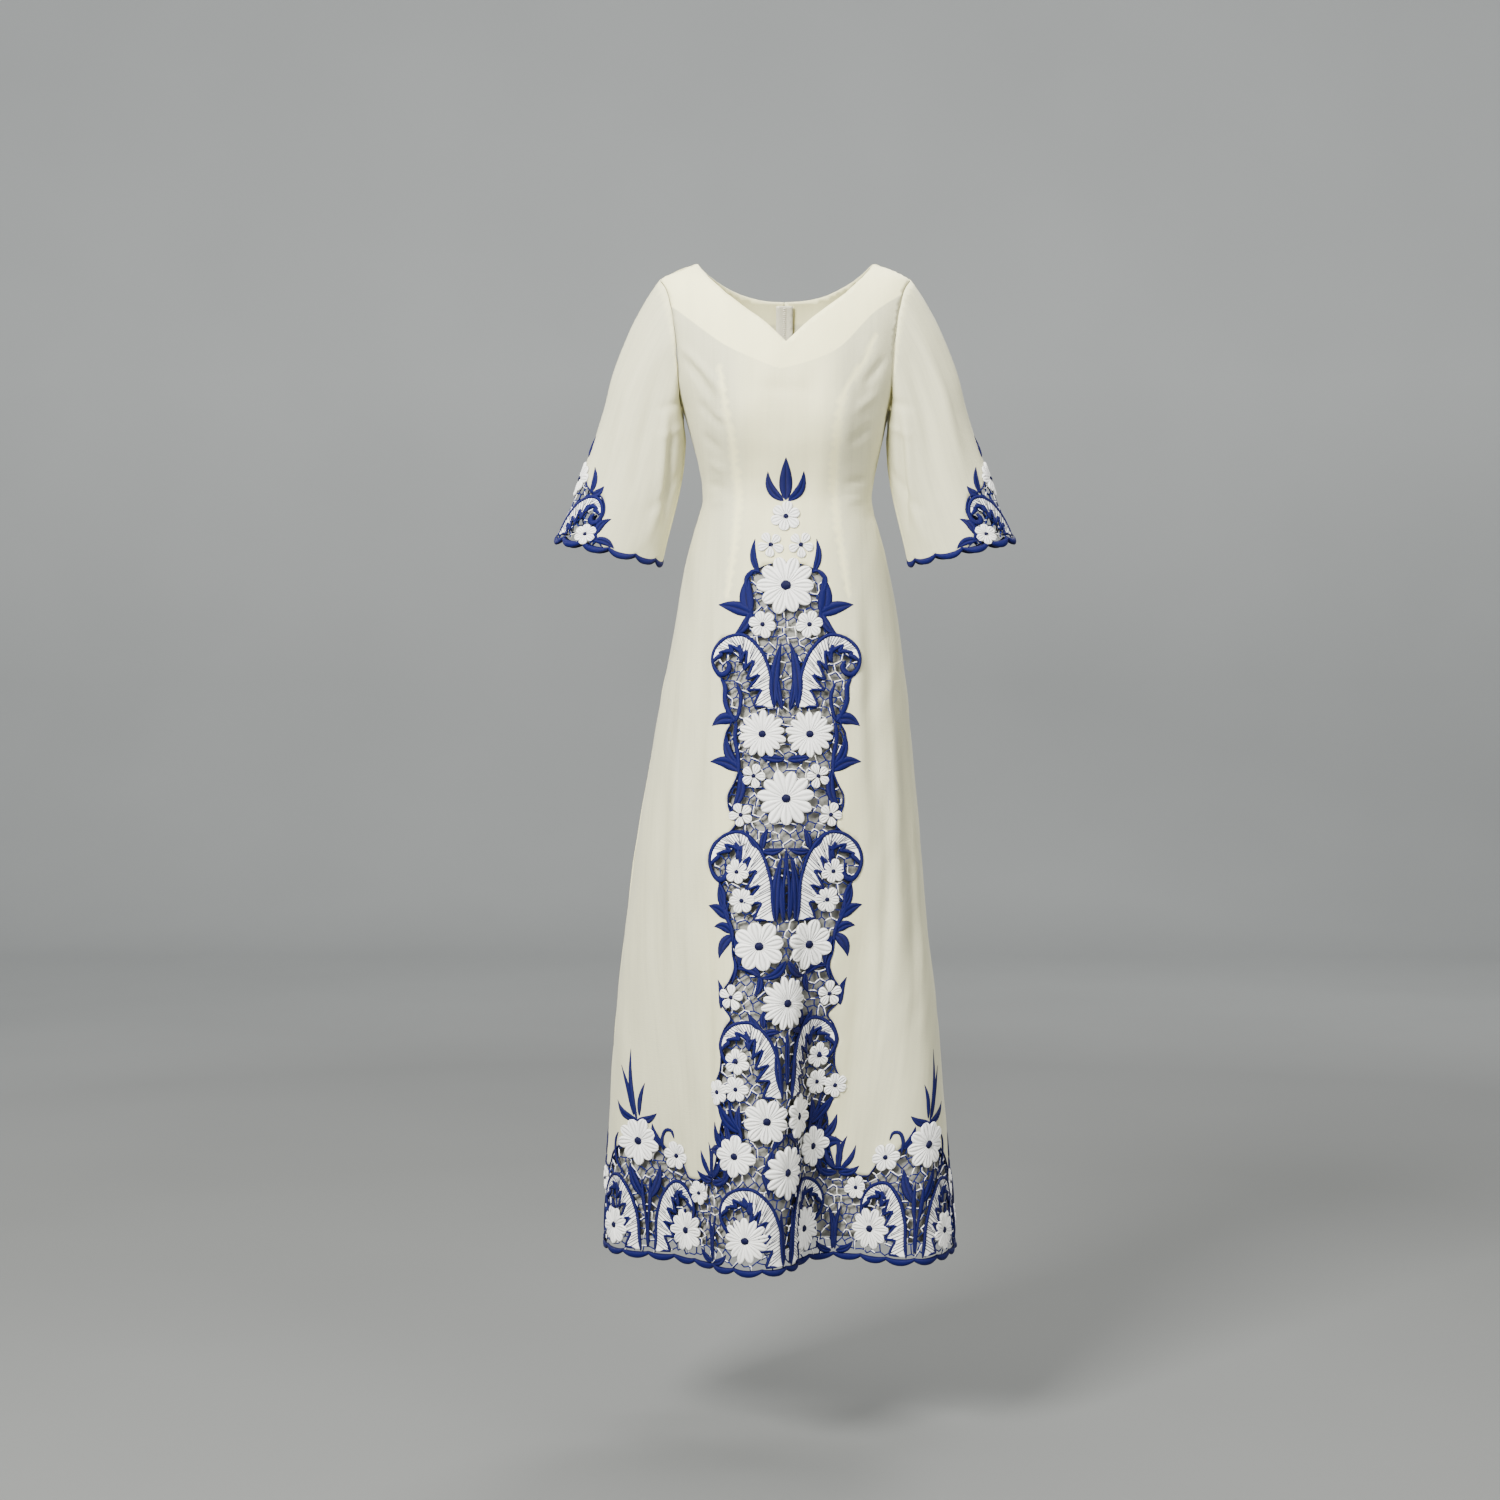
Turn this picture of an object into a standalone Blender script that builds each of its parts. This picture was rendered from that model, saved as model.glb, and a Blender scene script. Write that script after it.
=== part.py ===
"""Full-length V-neck dress with bell sleeves and cutwork embroidery, in metres.

Z is up and the front faces -Y. Z is 0 at the neck points, the highest points of the dress.
The body is a stack of rings. A place on it is (u, v): u runs round the cloth from the centre line and
v runs down the cloth from the shoulder line. Each cloth wall is a flat outline laid on those rings.
"""

import math

import bpy
import numpy as np
from mathutils import Vector
from mathutils.geometry import delaunay_2d_cdt

# Walls and seams
WALL = 0.0022
LINING_WALL = 0.0012
LINING_GAP = 0.0007
LINING_TOP = 0.338
LINING_END = 1.320
ZIP_END = 0.520
ZIP_HALF = 0.012
SEAM = 0.0004
FLOWER_RISE = 0.0018
LARGE_FLOWER = 0.0145

# Main sizes
NECK_HALF = 0.120
SHOULDER_DROP = 0.020
UNDERARM_DROP = 0.197
HEM_DROP = 1.351
SQUARENESS = 2.3

# Scallops
HEM_SCALLOPS_EACH_SIDE = 18
SCALLOP_DEPTH = 0.0065
CUFF_SCALLOPS_EACH_HALF = 6

# Body rings: drop below the neck points, reach to the viewer's left and right, front depth, back depth
RING_ROWS = (
    (0.000, 0.1200, 0.1200, 0.004, 0.004),
    (0.004, 0.1320, 0.1320, 0.014, 0.014),
    (0.008, 0.1430, 0.1430, 0.022, 0.023),
    (0.012, 0.1520, 0.1520, 0.029, 0.031),
    (0.016, 0.1600, 0.1600, 0.036, 0.038),
    (0.020, 0.1680, 0.1680, 0.042, 0.044),
    (0.032, 0.1740, 0.1740, 0.055, 0.058),
    (0.050, 0.1770, 0.1770, 0.069, 0.073),
    (0.080, 0.1740, 0.1740, 0.086, 0.088),
    (0.105, 0.1690, 0.1690, 0.096, 0.095),
    (0.130, 0.1630, 0.1630, 0.104, 0.099),
    (0.160, 0.1540, 0.1545, 0.110, 0.100),
    (0.197, 0.1380, 0.1410, 0.112, 0.097),
    (0.237, 0.1260, 0.1320, 0.108, 0.090),
    (0.278, 0.1152, 0.1225, 0.096, 0.082),
    (0.299, 0.1112, 0.1190, 0.089, 0.079),
    (0.319, 0.1108, 0.1166, 0.086, 0.079),
    (0.340, 0.1150, 0.1193, 0.089, 0.084),
    (0.360, 0.1218, 0.1262, 0.094, 0.092),
    (0.401, 0.1331, 0.1372, 0.102, 0.106),
    (0.442, 0.1405, 0.1455, 0.108, 0.116),
    (0.497, 0.1500, 0.1550, 0.113, 0.119),
    (0.580, 0.1663, 0.1652, 0.118, 0.121),
    (0.662, 0.1802, 0.1730, 0.122, 0.123),
    (0.745, 0.1950, 0.1809, 0.126, 0.125),
    (0.828, 0.2080, 0.1875, 0.130, 0.127),
    (0.912, 0.2190, 0.1955, 0.133, 0.129),
    (0.995, 0.2280, 0.2050, 0.136, 0.131),
    (1.079, 0.2350, 0.2130, 0.139, 0.133),
    (1.163, 0.2405, 0.2195, 0.141, 0.135),
    (1.247, 0.2452, 0.2270, 0.143, 0.137),
    (1.362, 0.2496, 0.2357, 0.145, 0.140),
)

# Front folds: place across, reach forward at full size, drop where it starts, drop where it is full
FRONT_FOLDS = (
    (-0.225, -0.006, 0.70, 1.35),
    (-0.181, -0.020, 0.70, 1.35),
    (-0.147, -0.019, 0.72, 1.35),
    (-0.120, -0.001, 0.75, 1.35),
    (-0.105, 0.009, 0.80, 1.30),
    (-0.089, 0.030, 0.80, 1.25),
    (-0.048, 0.054, 0.66, 1.35),
    (-0.014, 0.045, 0.66, 1.35),
    (0.007, 0.020, 0.68, 1.35),
    (0.021, -0.024, 0.68, 1.35),
    (0.052, -0.052, 0.66, 1.35),
    (0.088, -0.043, 0.66, 1.35),
    (0.124, -0.012, 0.70, 1.35),
    (0.160, 0.018, 0.70, 1.35),
    (0.191, 0.030, 0.70, 1.35),
    (0.214, 0.024, 0.80, 1.35),
    (0.236, 0.008, 0.90, 1.35),
)

# Back folds: the same columns, reach backward
BACK_FOLDS = (
    (-0.235, 0.000, 0.80, 1.35),
    (-0.190, 0.014, 0.70, 1.35),
    (-0.130, -0.012, 0.66, 1.35),
    (-0.070, 0.018, 0.62, 1.35),
    (-0.010, -0.010, 0.66, 1.35),
    (0.060, 0.016, 0.62, 1.35),
    (0.115, -0.010, 0.66, 1.35),
    (0.165, 0.008, 0.70, 1.35),
    (0.222, 0.000, 0.80, 1.35),
)

# Drops at which the walls below the underarm have a row of points
LEVEL_DROPS = (
    0.197, 0.225, 0.255, 0.285, 0.312, 0.338, 0.368, 0.405, 0.450,
    0.510, 0.580, 0.650, 0.720, 0.790, 0.860, 0.925, 0.980,
    1.025, 1.065, 1.098, 1.132, 1.166, 1.200, 1.234, 1.268, 1.302, 1.334,
)

# Soft bust under the cloth
BUST_ACROSS = 0.072
BUST_DROP = 0.212
BUST_REACH = 0.012
BUST_SPREAD = 0.046

# Front neckline: distance from the centre line, drop
NECK_ROWS = (
    (0.0000, 0.112),
    (0.0110, 0.101),
    (0.0220, 0.090),
    (0.0350, 0.079),
    (0.0500, 0.068),
    (0.0655, 0.056),
    (0.0800, 0.045),
    (0.0920, 0.033),
    (0.1040, 0.021),
    (0.1140, 0.009),
    (0.1200, 0.000),
)
BACK_NECK_DROP = 0.045
FACING_WIDTH = 0.038
FACING_STEP = 0.012

# Armhole edge: drop, distance in from the side line on the front, on the back
ARMHOLE_ROWS = (
    (0.020, 0.000, 0.000),
    (0.026, 0.017, 0.015),
    (0.036, 0.033, 0.028),
    (0.052, 0.047, 0.041),
    (0.079, 0.058, 0.052),
    (0.108, 0.062, 0.057),
    (0.138, 0.060, 0.057),
    (0.162, 0.052, 0.050),
    (0.180, 0.039, 0.038),
    (0.191, 0.022, 0.022),
    (0.197, 0.000, 0.000),
)

# Sleeves
SLEEVE_ROUND = 0.200
SLEEVE_OUTER = 0.390
SLEEVE_INNER = 0.220
CUFF_CENTRE = (0.2433, -0.010, -0.3960)
CUFF_ACROSS = (0.0733, 0.0, 0.0165)
CUFF_DEPTH = 0.048

# Sleeve fullness: share of the way down, outward on the outer line, toward the body on the inner line
SLEEVE_ROWS = (
    (0.00, 0.0000, 0.0000),
    (0.08, 0.0080, 0.0050),
    (0.20, 0.0125, 0.0110),
    (0.35, 0.0110, 0.0125),
    (0.50, 0.0040, 0.0115),
    (0.65, -0.0010, 0.0085),
    (0.85, -0.0040, 0.0035),
    (1.00, 0.0000, 0.0000),
)

# Flowers of the front strip: distance each side of the centre line, drop, radius, petals
STRIP_FLOWERS = (
    (0.0000, 0.344, 0.020, 7),
    (0.0200, 0.382, 0.017, 5),
    (0.0000, 0.436, 0.038, 10),
    (0.0310, 0.488, 0.018, 6),
    (0.0315, 0.634, 0.030, 12),
    (0.0430, 0.690, 0.015, 5),
    (0.0000, 0.720, 0.036, 11),
    (0.0600, 0.742, 0.015, 5),
    (0.0655, 0.818, 0.015, 6),
    (0.0590, 0.856, 0.016, 6),
    (0.0385, 0.916, 0.033, 8),
    (0.0000, 0.992, 0.034, 12),
    (0.0750, 0.984, 0.015, 5),
    (0.0690, 1.068, 0.015, 6),
    (0.0710, 1.104, 0.015, 6),
    (0.1020, 1.110, 0.014, 5),
    (0.0320, 1.146, 0.029, 9),
    (0.0760, 1.194, 0.027, 9),
    (0.0000, 1.216, 0.035, 12),
    (0.0620, 1.303, 0.030, 12),
)

# Flowers of a border repeat: distance each side of its middle, drop, radius, petals
BORDER_FLOWERS = (
    (0.0000, 1.184, 0.030, 9),
    (0.0460, 1.202, 0.014, 5),
    (0.0880, 1.243, 0.014, 5),
    (0.0600, 1.303, 0.029, 8),
)

# Flowers of a sleeve: distance each side of the outer line, height above the cuff edge, radius, petals
SLEEVE_FLOWERS = (
    (0.0000, 0.086, 0.020, 8),
    (0.0620, 0.024, 0.014, 6),
)

# Half width of the openwork in the strip at each drop
STRIP_ROWS = (
    (0.360, 0.000),
    (0.400, 0.036),
    (0.455, 0.052),
    (0.495, 0.052),
    (0.515, 0.094),
    (0.545, 0.094),
    (0.585, 0.050),
    (0.615, 0.068),
    (0.730, 0.076),
    (0.775, 0.094),
    (0.820, 0.094),
    (0.880, 0.074),
    (0.930, 0.074),
    (0.985, 0.088),
    (1.050, 0.104),
    (1.110, 0.112),
    (1.210, 0.120),
)
BORDER_TOP = 1.232
BORDER_CREST = 1.172
BORDER_BOTTOM = 1.337
SLEEVE_CREST = 0.105
SLEEVE_ZONE = 0.094

# Leaves kept whole between the gaps, each side: from distance and drop, to distance and drop, half width
STRIP_LEAVES = (
    (0.030, 0.415, 0.039, 0.372, 0.006),
    (0.012, 0.600, 0.006, 0.530, 0.007),
    (0.000, 0.668, 0.026, 0.668, 0.005),
    (0.010, 0.765, 0.028, 0.745, 0.006),
    (0.000, 0.783, 0.026, 0.783, 0.005),
    (0.010, 0.880, 0.006, 0.810, 0.007),
    (0.016, 0.968, 0.064, 0.945, 0.006),
    (0.012, 1.100, 0.006, 1.045, 0.007),
    (0.098, 1.140, 0.060, 1.165, 0.006),
    (0.000, 1.335, 0.006, 1.262, 0.008),
)

# Plumes each side: foot distance and drop, top drop, reach across, drop of the outer end, half width
STRIP_PLUMES = (
    (0.018, 0.598, 0.506, 0.076, 0.548, 0.009),
    (0.018, 0.882, 0.770, 0.080, 0.815, 0.009),
    (0.012, 1.112, 1.020, 0.082, 1.060, 0.009),
    (0.016, 1.335, 1.236, 0.080, 1.285, 0.009),
)
BORDER_PLUMES = ((0.014, 1.335, 1.240, 0.072, 1.285, 0.008),)
SLEEVE_PLUME = (0.016, 0.008, 0.066, 0.060, 0.036, 0.006)

# Gaps between the stitched bars
GAP_PITCH = 0.0158
GAP_LARGEST = 0.0061
GAP_SMALLEST = 0.0032
GAP_BAR = 0.0016
FRONT_GAPS = 132
BACK_GAPS_EACH = 26
SLEEVE_GAPS_EACH = 8

# Colours
IVORY = (0.80, 0.77, 0.64)
LINING_COLOUR = (0.62, 0.60, 0.54)

# Sampling of the rings
RING_STEP = 0.004
RING_SAMPLES = 641
ROUND_SAMPLES = 721


def smooth_curve(at, xs, ys):
    """Smooth interpolation that keeps to the rise and fall of its rows."""
    xs = np.asarray(xs, float)
    ys = np.asarray(ys, float)
    step = np.diff(xs)
    slope = np.diff(ys) / step
    tangent = np.zeros(len(xs))
    same = slope[:-1] * slope[1:] > 0
    first = 2 * step[1:] + step[:-1]
    second = step[1:] + 2 * step[:-1]
    with np.errstate(divide="ignore", invalid="ignore"):
        mean = (first + second) / (first / slope[:-1] + second / slope[1:])
    tangent[1:-1] = np.where(same, mean, 0.0)
    tangent[0] = slope[0]
    tangent[-1] = slope[-1]
    at = np.clip(np.asarray(at, float), xs[0], xs[-1])
    i = np.clip(np.searchsorted(xs, at, side="right") - 1, 0, len(step) - 1)
    h = step[i]
    t = (at - xs[i]) / h
    low = (1 + 2 * t) * (1 - t) ** 2 * ys[i] + t * (1 - t) ** 2 * h * tangent[i]
    high = t * t * (3 - 2 * t) * ys[i + 1] + t * t * (t - 1) * h * tangent[i + 1]
    return low + high


def ease(value):
    """Smooth step from 0 to 1."""
    value = np.clip(value, 0.0, 1.0)
    return value * value * (3 - 2 * value)


def down_the_cloth():
    """For each ring row, its distance down the cloth."""
    rows = np.array(RING_ROWS)
    over = np.hypot(np.diff(rows[:, 0]), 0.85 * np.diff(rows[:, 3]))
    over = np.where(rows[1:, 0] <= 0.1601, over, np.diff(rows[:, 0]))
    return np.concatenate(([0.0], np.cumsum(over)))


ROW_V = down_the_cloth()
V_COUNT = int(ROW_V[-1] / RING_STEP) + 1
V_GRID = np.arange(V_COUNT) * RING_STEP
DROP_GRID = smooth_curve(V_GRID, ROW_V, [row[0] for row in RING_ROWS])


def v_of(drop):
    """Distance down the cloth at a drop below the neck points."""
    return np.interp(drop, DROP_GRID, V_GRID)


def fold_reach(table, x, drop):
    """Reach of a table's folds at places across and one drop."""
    rows = np.array(table)
    grown = rows[:, 1] * ease((drop - rows[:, 2]) / (rows[:, 3] - rows[:, 2]))
    return smooth_curve(x, rows[:, 0], grown)


def ring(v, drop):
    """One closed ring as x and y, from the back over the viewer's left, the front and the right."""
    sizes = [smooth_curve(v, ROW_V, [row[k] for row in RING_ROWS]) for k in (1, 2, 3, 4)]
    left, right, front, back = sizes
    turn = np.radians(np.linspace(-180.0, 180.0, ROUND_SAMPLES))
    side = np.abs(np.sin(turn)) ** (2 / SQUARENESS) * np.sign(np.sin(turn))
    share = np.abs(np.cos(turn)) ** (2 / SQUARENESS)
    x = (right - left) / 2 + side * (right + left) / 2
    hold = ease(share / 0.30)
    ahead = front * share + hold * fold_reach(FRONT_FOLDS, x, drop)
    for centre in (-BUST_ACROSS, BUST_ACROSS):
        off = ((x - centre) ** 2 + (drop - BUST_DROP) ** 2) / BUST_SPREAD ** 2
        ahead += hold * BUST_REACH * np.exp(-off)
    behind = back * share + hold * fold_reach(BACK_FOLDS, x, drop)
    return x, np.where(np.cos(turn) > 0, -ahead, behind)


def ring_tables():
    """Rings sampled evenly along the cloth, from centre back round to centre back, and the lengths."""
    share = np.linspace(-1.0, 1.0, RING_SAMPLES)
    across = np.zeros((V_COUNT, RING_SAMPLES))
    depth = np.zeros((V_COUNT, RING_SAMPLES))
    half = np.zeros(V_COUNT)
    side = np.zeros(V_COUNT)
    quarter = (ROUND_SAMPLES - 1) // 4
    for row, (v, drop) in enumerate(zip(V_GRID, DROP_GRID)):
        x, y = ring(v, drop)
        run = np.concatenate(([0.0], np.cumsum(np.hypot(np.diff(x), np.diff(y)))))
        whole = run[-1]
        front = slice(quarter, 3 * quarter + 1)
        run = run - np.interp(0.0, x[front], run[front])
        half[row] = whole / 2
        side[row] = (run[3 * quarter] - run[quarter]) / 2
        at = (share * whole / 2 - run[0]) % whole + run[0]
        across[row] = np.interp(at, run, x)
        depth[row] = np.interp(at, run, y)
    return across, depth, half, side


ACROSS, DEPTH, HALF, SIDE = ring_tables()


def half_round(v):
    """Length of the cloth from centre front to centre back."""
    return np.interp(v, V_GRID, HALF)


def side_round(v):
    """Length of the cloth from centre front to a side seam."""
    return np.interp(v, V_GRID, SIDE)


def body_point(u, v):
    """Places on the inner face of the body walls, as rows of x, y, z."""
    u = np.atleast_1d(np.asarray(u, float))
    v = np.atleast_1d(np.asarray(v, float))
    row = np.clip(v / RING_STEP, 0.0, V_COUNT - 1.001)
    low = row.astype(int)
    part = row - low
    share = u / half_round(v)
    column = (share + 1) / 2 * (RING_SAMPLES - 1) % (RING_SAMPLES - 1)
    near = column.astype(int)
    lean = column - near

    def pick(grid):
        top = grid[low, near] * (1 - lean) + grid[low, near + 1] * lean
        bottom = grid[low + 1, near] * (1 - lean) + grid[low + 1, near + 1] * lean
        return top * (1 - part) + bottom * part

    return np.stack([pick(ACROSS), pick(DEPTH), -np.interp(v, V_GRID, DROP_GRID)], axis=1)


def from_back(w, v):
    """Turns a distance from the centre back, positive to the wearer's right, into one from the front."""
    w = np.asarray(w, float)
    return np.where(w < 0, 1.0, -1.0) * (half_round(v) - np.abs(w))


def front_place(flat, lift):
    """Places of flat (u, v) points, moved out of the cloth by lift."""
    return lifted(body_point, flat[:, 0], flat[:, 1], lift)


def back_place(flat, lift):
    return lifted(lambda w, v: body_point(from_back(w, v), v), flat[:, 0], flat[:, 1], lift)


def lifted(surface, a, b, lift):
    step = 0.0015
    across = surface(a + step, b) - surface(a - step, b)
    down = surface(a, b + step) - surface(a, np.maximum(b - step, 0.0))
    normal = np.cross(down, across)
    normal /= np.linalg.norm(normal, axis=1)[:, None]
    return surface(a, b) + normal * np.asarray(lift, float).reshape(-1, 1)


def round_at(across, v, back=False):
    """Distance round the cloth at which a ring is this far to the positive side of its centre line."""
    reach = side_reach(v, back)
    tries = np.linspace(-reach, reach, 241)
    rings = body_point(from_back(tries, v) if back else tries, np.full(len(tries), v))
    return float(np.interp(across, -rings[:, 0] if back else rings[:, 0], tries))


def scallop_edge(pitch, first, last, edge, inward, parts=(0.0, 0.2, 0.5, 0.8)):
    """Points of a scalloped edge between two distances, ends included, bowls away from inward."""
    start = math.floor(first / pitch)
    stop = math.ceil(last / pitch)
    stops = [(k + part) * pitch for k in range(start, stop) for part in parts]
    inside = [at for at in stops if first + 0.003 < at < last - 0.003]
    points = []
    for at in [first, *inside, last]:
        part = at / pitch - math.floor(at / pitch)
        points.append((at, edge + inward * SCALLOP_DEPTH * abs(2 * part - 1) ** 2.2))
    return points


def even_levels(first, last, gap):
    """Even stops from first to last, about gap apart."""
    count = max(1, round((last - first) / gap))
    return [first + (last - first) * k / count for k in range(count + 1)]


HEM_V = float(v_of(HEM_DROP))
TIP_V = float(v_of(SHOULDER_DROP))
UNDERARM_V = float(v_of(UNDERARM_DROP))
LEVELS = [float(v_of(drop)) for drop in LEVEL_DROPS]
SHARP_V = float(v_of(0.900))
SCALLOP_PITCH = float(half_round(HEM_V)) / HEM_SCALLOPS_EACH_SIDE
REPEAT = 6 * SCALLOP_PITCH


def side_line(back):
    """Distance of the side seam from the centre line at chosen levels, from the underarm to the hem."""
    return [(side_reach(v, back) - SEAM / 2, v) for v in [*LEVELS, HEM_V]]


def armhole_line(back):
    """Armhole edge from the shoulder tip to the underarm as distance and v."""
    rows = np.array(ARMHOLE_ROWS)
    points = []
    for drop in np.concatenate((rows[:, 0], [0.066, 0.094, 0.123, 0.150, 0.172])):
        v = float(v_of(drop))
        inward = float(smooth_curve(drop, rows[:, 0], rows[:, 2 if back else 1]))
        points.append((side_reach(v, back) - inward - SEAM / 2, v))
    return sorted(points, key=lambda point: point[1])


def shoulder_line(back):
    """Shoulder seam from the neck point to the shoulder tip as distance and v."""
    levels = [v for v in (0.0, 0.010, 0.022, 0.034) if v < TIP_V - 0.004]
    return [(side_reach(v, back) - SEAM / 2, v) for v in levels]


def neck_line(back):
    """Neckline from the centre line to just before the neck point, as distance and v."""
    points = []
    if back:
        for part in (0.0, 0.2, 0.4, 0.6, 0.78, 0.92):
            drop = BACK_NECK_DROP * (1 - part ** 2.4)
            v = float(v_of(drop))
            points.append((round_at(part * NECK_HALF, v, True), v))
        return points
    for across, drop in NECK_ROWS[:-1]:
        v = float(v_of(drop))
        points.append((round_at(across, v), v))
    return points


def mirrored(points):
    return [(-a, b) for a, b in reversed(points)]


def far_from_line(points, line):
    """Distance of each point from a run of straight pieces."""
    nearest = np.full(len(points), 9.0)
    for (ax, ay), (bx, by) in zip(line[:-1], line[1:]):
        span = np.array([bx - ax, by - ay])
        run = points - np.array([ax, ay])
        part = np.clip(run @ span / max(span @ span, 1e-12), 0.0, 1.0)
        nearest = np.minimum(nearest, np.linalg.norm(run - part[:, None] * span, axis=1))
    return nearest


def inside(points, loop):
    """True for points inside a closed loop."""
    loop = np.asarray(loop)
    result = np.zeros(len(points), bool)
    for (ax, ay), (bx, by) in zip(loop, np.roll(loop, -1, axis=0)):
        crosses = (ay > points[:, 1]) != (by > points[:, 1])
        with np.errstate(divide="ignore", invalid="ignore"):
            at = (bx - ax) * (points[:, 1] - ay) / (by - ay) + ax
        result ^= crosses & (points[:, 0] < at)
    return result


def plume_line(row, sign, middle):
    """Spine of a plume: up from its foot, over the top and down on the outer side."""
    foot, foot_b, top_b, reach, end_b, _ = row
    points = []
    for k in range(9):
        part = k / 8
        across = foot + reach * ease(part)
        rise = math.sin(math.pi * min(part / 1.1, 1.0)) ** 0.8
        base = foot_b + (end_b - foot_b) * part
        points.append((middle + sign * float(across), base + (top_b - base) * rise))
    return points


def flower_loops(centre, radius, petals, turn):
    """Petal outline on the cloth, and the raised inner loop."""
    outline = []
    raised = []
    for k in range(petals):
        tip = turn + 2 * math.pi * k / petals
        notch = tip + math.pi / petals
        outline.append((centre[0] + radius * math.sin(tip), centre[1] - radius * math.cos(tip)))
        deep = radius * (0.80 if petals > 7 else 0.66)
        outline.append((centre[0] + deep * math.sin(notch), centre[1] - deep * math.cos(notch)))
        flat = radius * 0.62
        raised.append((centre[0] + flat * math.sin(tip), centre[1] - flat * math.cos(tip)))
    return outline, raised


def gap_loops(zone, corners, solids, count, seed):
    """The largest gaps that fit a zone: each an uneven four or five sided loop clear of solid shapes.

    zone takes points and gives each one's room to the zone's own edge.
    """
    (a0, b0), (a1, b1) = corners
    rng = np.random.default_rng(seed)
    tries = []
    row = 0
    b = b0
    while b < b1:
        a = a0 + (row % 2) * GAP_PITCH / 2
        while a < a1:
            tries.append((a, b))
            a += GAP_PITCH
        b += GAP_PITCH * 0.87
        row += 1
    tries = np.array(tries) + rng.uniform(-0.0012, 0.0012, (len(tries), 2))
    room = zone(tries)
    for shape in solids:
        room = np.minimum(room, shape(tries))
    room = np.minimum(room - GAP_BAR, GAP_LARGEST)
    order = np.argsort(-room + rng.uniform(0.0, 0.0012, len(room)), kind="stable")
    loops = []
    for k in order[:count]:
        if room[k] < GAP_SMALLEST:
            break
        sides = 5 if rng.random() < 0.25 else 4
        turn = rng.uniform(0, math.pi)
        loop = []
        for j in range(sides):
            angle = turn + 2 * math.pi * (j + rng.uniform(-0.12, 0.12)) / sides
            reach = room[k] * rng.uniform(0.94, 1.0) * 1.08
            loop.append((tries[k, 0] + reach * math.cos(angle), tries[k, 1] + reach * math.sin(angle)))
        loops.append(loop)
    return loops


def round_shape(centre, radius):
    return lambda points: np.linalg.norm(points - np.array(centre), axis=1) - radius - 0.0012


def line_shape(line, half):
    return lambda points: far_from_line(points, line) - half


def triangulate(points, loops, edges):
    """Triangles of the first loop with the other loops as holes, keeping the given edges."""
    coords = [Vector((a * 1000, b * 1000)) for a, b in points]
    verts, _, faces, _, _, owners = delaunay_2d_cdt(coords, edges, loops, 1, 1e-6)
    flat = np.array([(v.x / 1000, v.y / 1000) for v in verts])
    triangles = []
    for face, owner in zip(faces, owners):
        if any(k > 0 for k in owner):
            continue
        a, b, c = (flat[k] for k in face)
        area = (b[0] - a[0]) * (c[1] - a[1]) - (b[1] - a[1]) * (c[0] - a[0])
        triangles.append(tuple(face) if area > 0 else tuple(reversed(face)))
    return flat, triangles


def as_loops(groups):
    points = []
    loops = []
    for group in groups:
        loops.append(list(range(len(points), len(points) + len(group))))
        points.extend(group)
    return points, loops


def cloth(name, outline, gaps, flowers, grid, place, thick, colour, mirror=False):
    """One closed wall: an outer face with raised flowers, a plain inner face, and its edges."""
    outline_array = np.array(outline)
    grid = np.array(grid).reshape(-1, 2)
    edges = [*outline, outline[0]]
    clear = inside(grid, outline_array) & (far_from_line(grid, edges) > 0.006)
    for gap in gaps:
        middle = np.mean(gap, axis=0)
        clear &= np.linalg.norm(grid - middle, axis=1) > 0.0085
    raised_keys = {}
    for centre, radius, _, _ in flowers:
        away = np.linalg.norm(grid - np.array(centre), axis=1)
        under = (away > 0.005) & (away < radius * 0.5)
        clear &= under | (away > radius + 0.004)
        for point in grid[under]:
            raised_keys[key(point)] = FLOWER_RISE
    grid = grid[clear]
    inner_points, inner_loops = as_loops([outline, *gaps])
    outer_points = [*inner_points, *map(tuple, grid)]
    under_flowers = []
    for centre, radius, petals, turn in flowers:
        under_flowers.append(tuple(centre))
        if radius > LARGE_FLOWER:
            under_flowers += flower_loops(centre, radius, petals, turn)[0][0::2]
    inner_flat, inner_faces = triangulate([*outer_points, *under_flowers], inner_loops, [])
    flower_loops_flat = []
    for centre, radius, petals, turn in flowers:
        low, high = flower_loops(centre, radius, petals, turn)
        flower_loops_flat.append((low, high))
        for point in high:
            raised_keys[key(point)] = FLOWER_RISE
        raised_keys[key(centre)] = FLOWER_RISE * 0.8
    edges_in = []
    for (low, high), (centre, _, _, _) in zip(flower_loops_flat, flowers):
        for ring_points in (low, high):
            first = len(outer_points)
            outer_points.extend(ring_points)
            count = len(ring_points)
            edges_in += [(first + k, first + (k + 1) % count) for k in range(count)]
        outer_points.append(tuple(centre))
    outer_flat, outer_faces = triangulate(outer_points, inner_loops, edges_in)
    lifts = np.array([thick + raised_keys.get(key(point), 0.0) for point in outer_flat])
    outer = place(outer_flat, lifts)
    inner = place(inner_flat, np.zeros(len(inner_flat)))
    where = {key(point): k for k, point in enumerate(inner_flat)}
    counted = {}
    for a, b, c in outer_faces:
        for edge in ((a, b), (b, c), (c, a)):
            counted[edge] = counted.get(edge, 0) + 1
    shift = len(outer)
    faces = [tuple(reversed(face)) for face in outer_faces]
    faces += [tuple(k + shift for k in face) for face in inner_faces]
    for a, b in counted:
        if (b, a) in counted:
            continue
        low_a = where[key(outer_flat[a])] + shift
        low_b = where[key(outer_flat[b])] + shift
        faces += [(a, b, low_b), (a, low_b, low_a)]
    if mirror:
        faces = [tuple(reversed(face)) for face in faces]
    return solid(name, np.vstack((outer, inner)), faces, colour)


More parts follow.
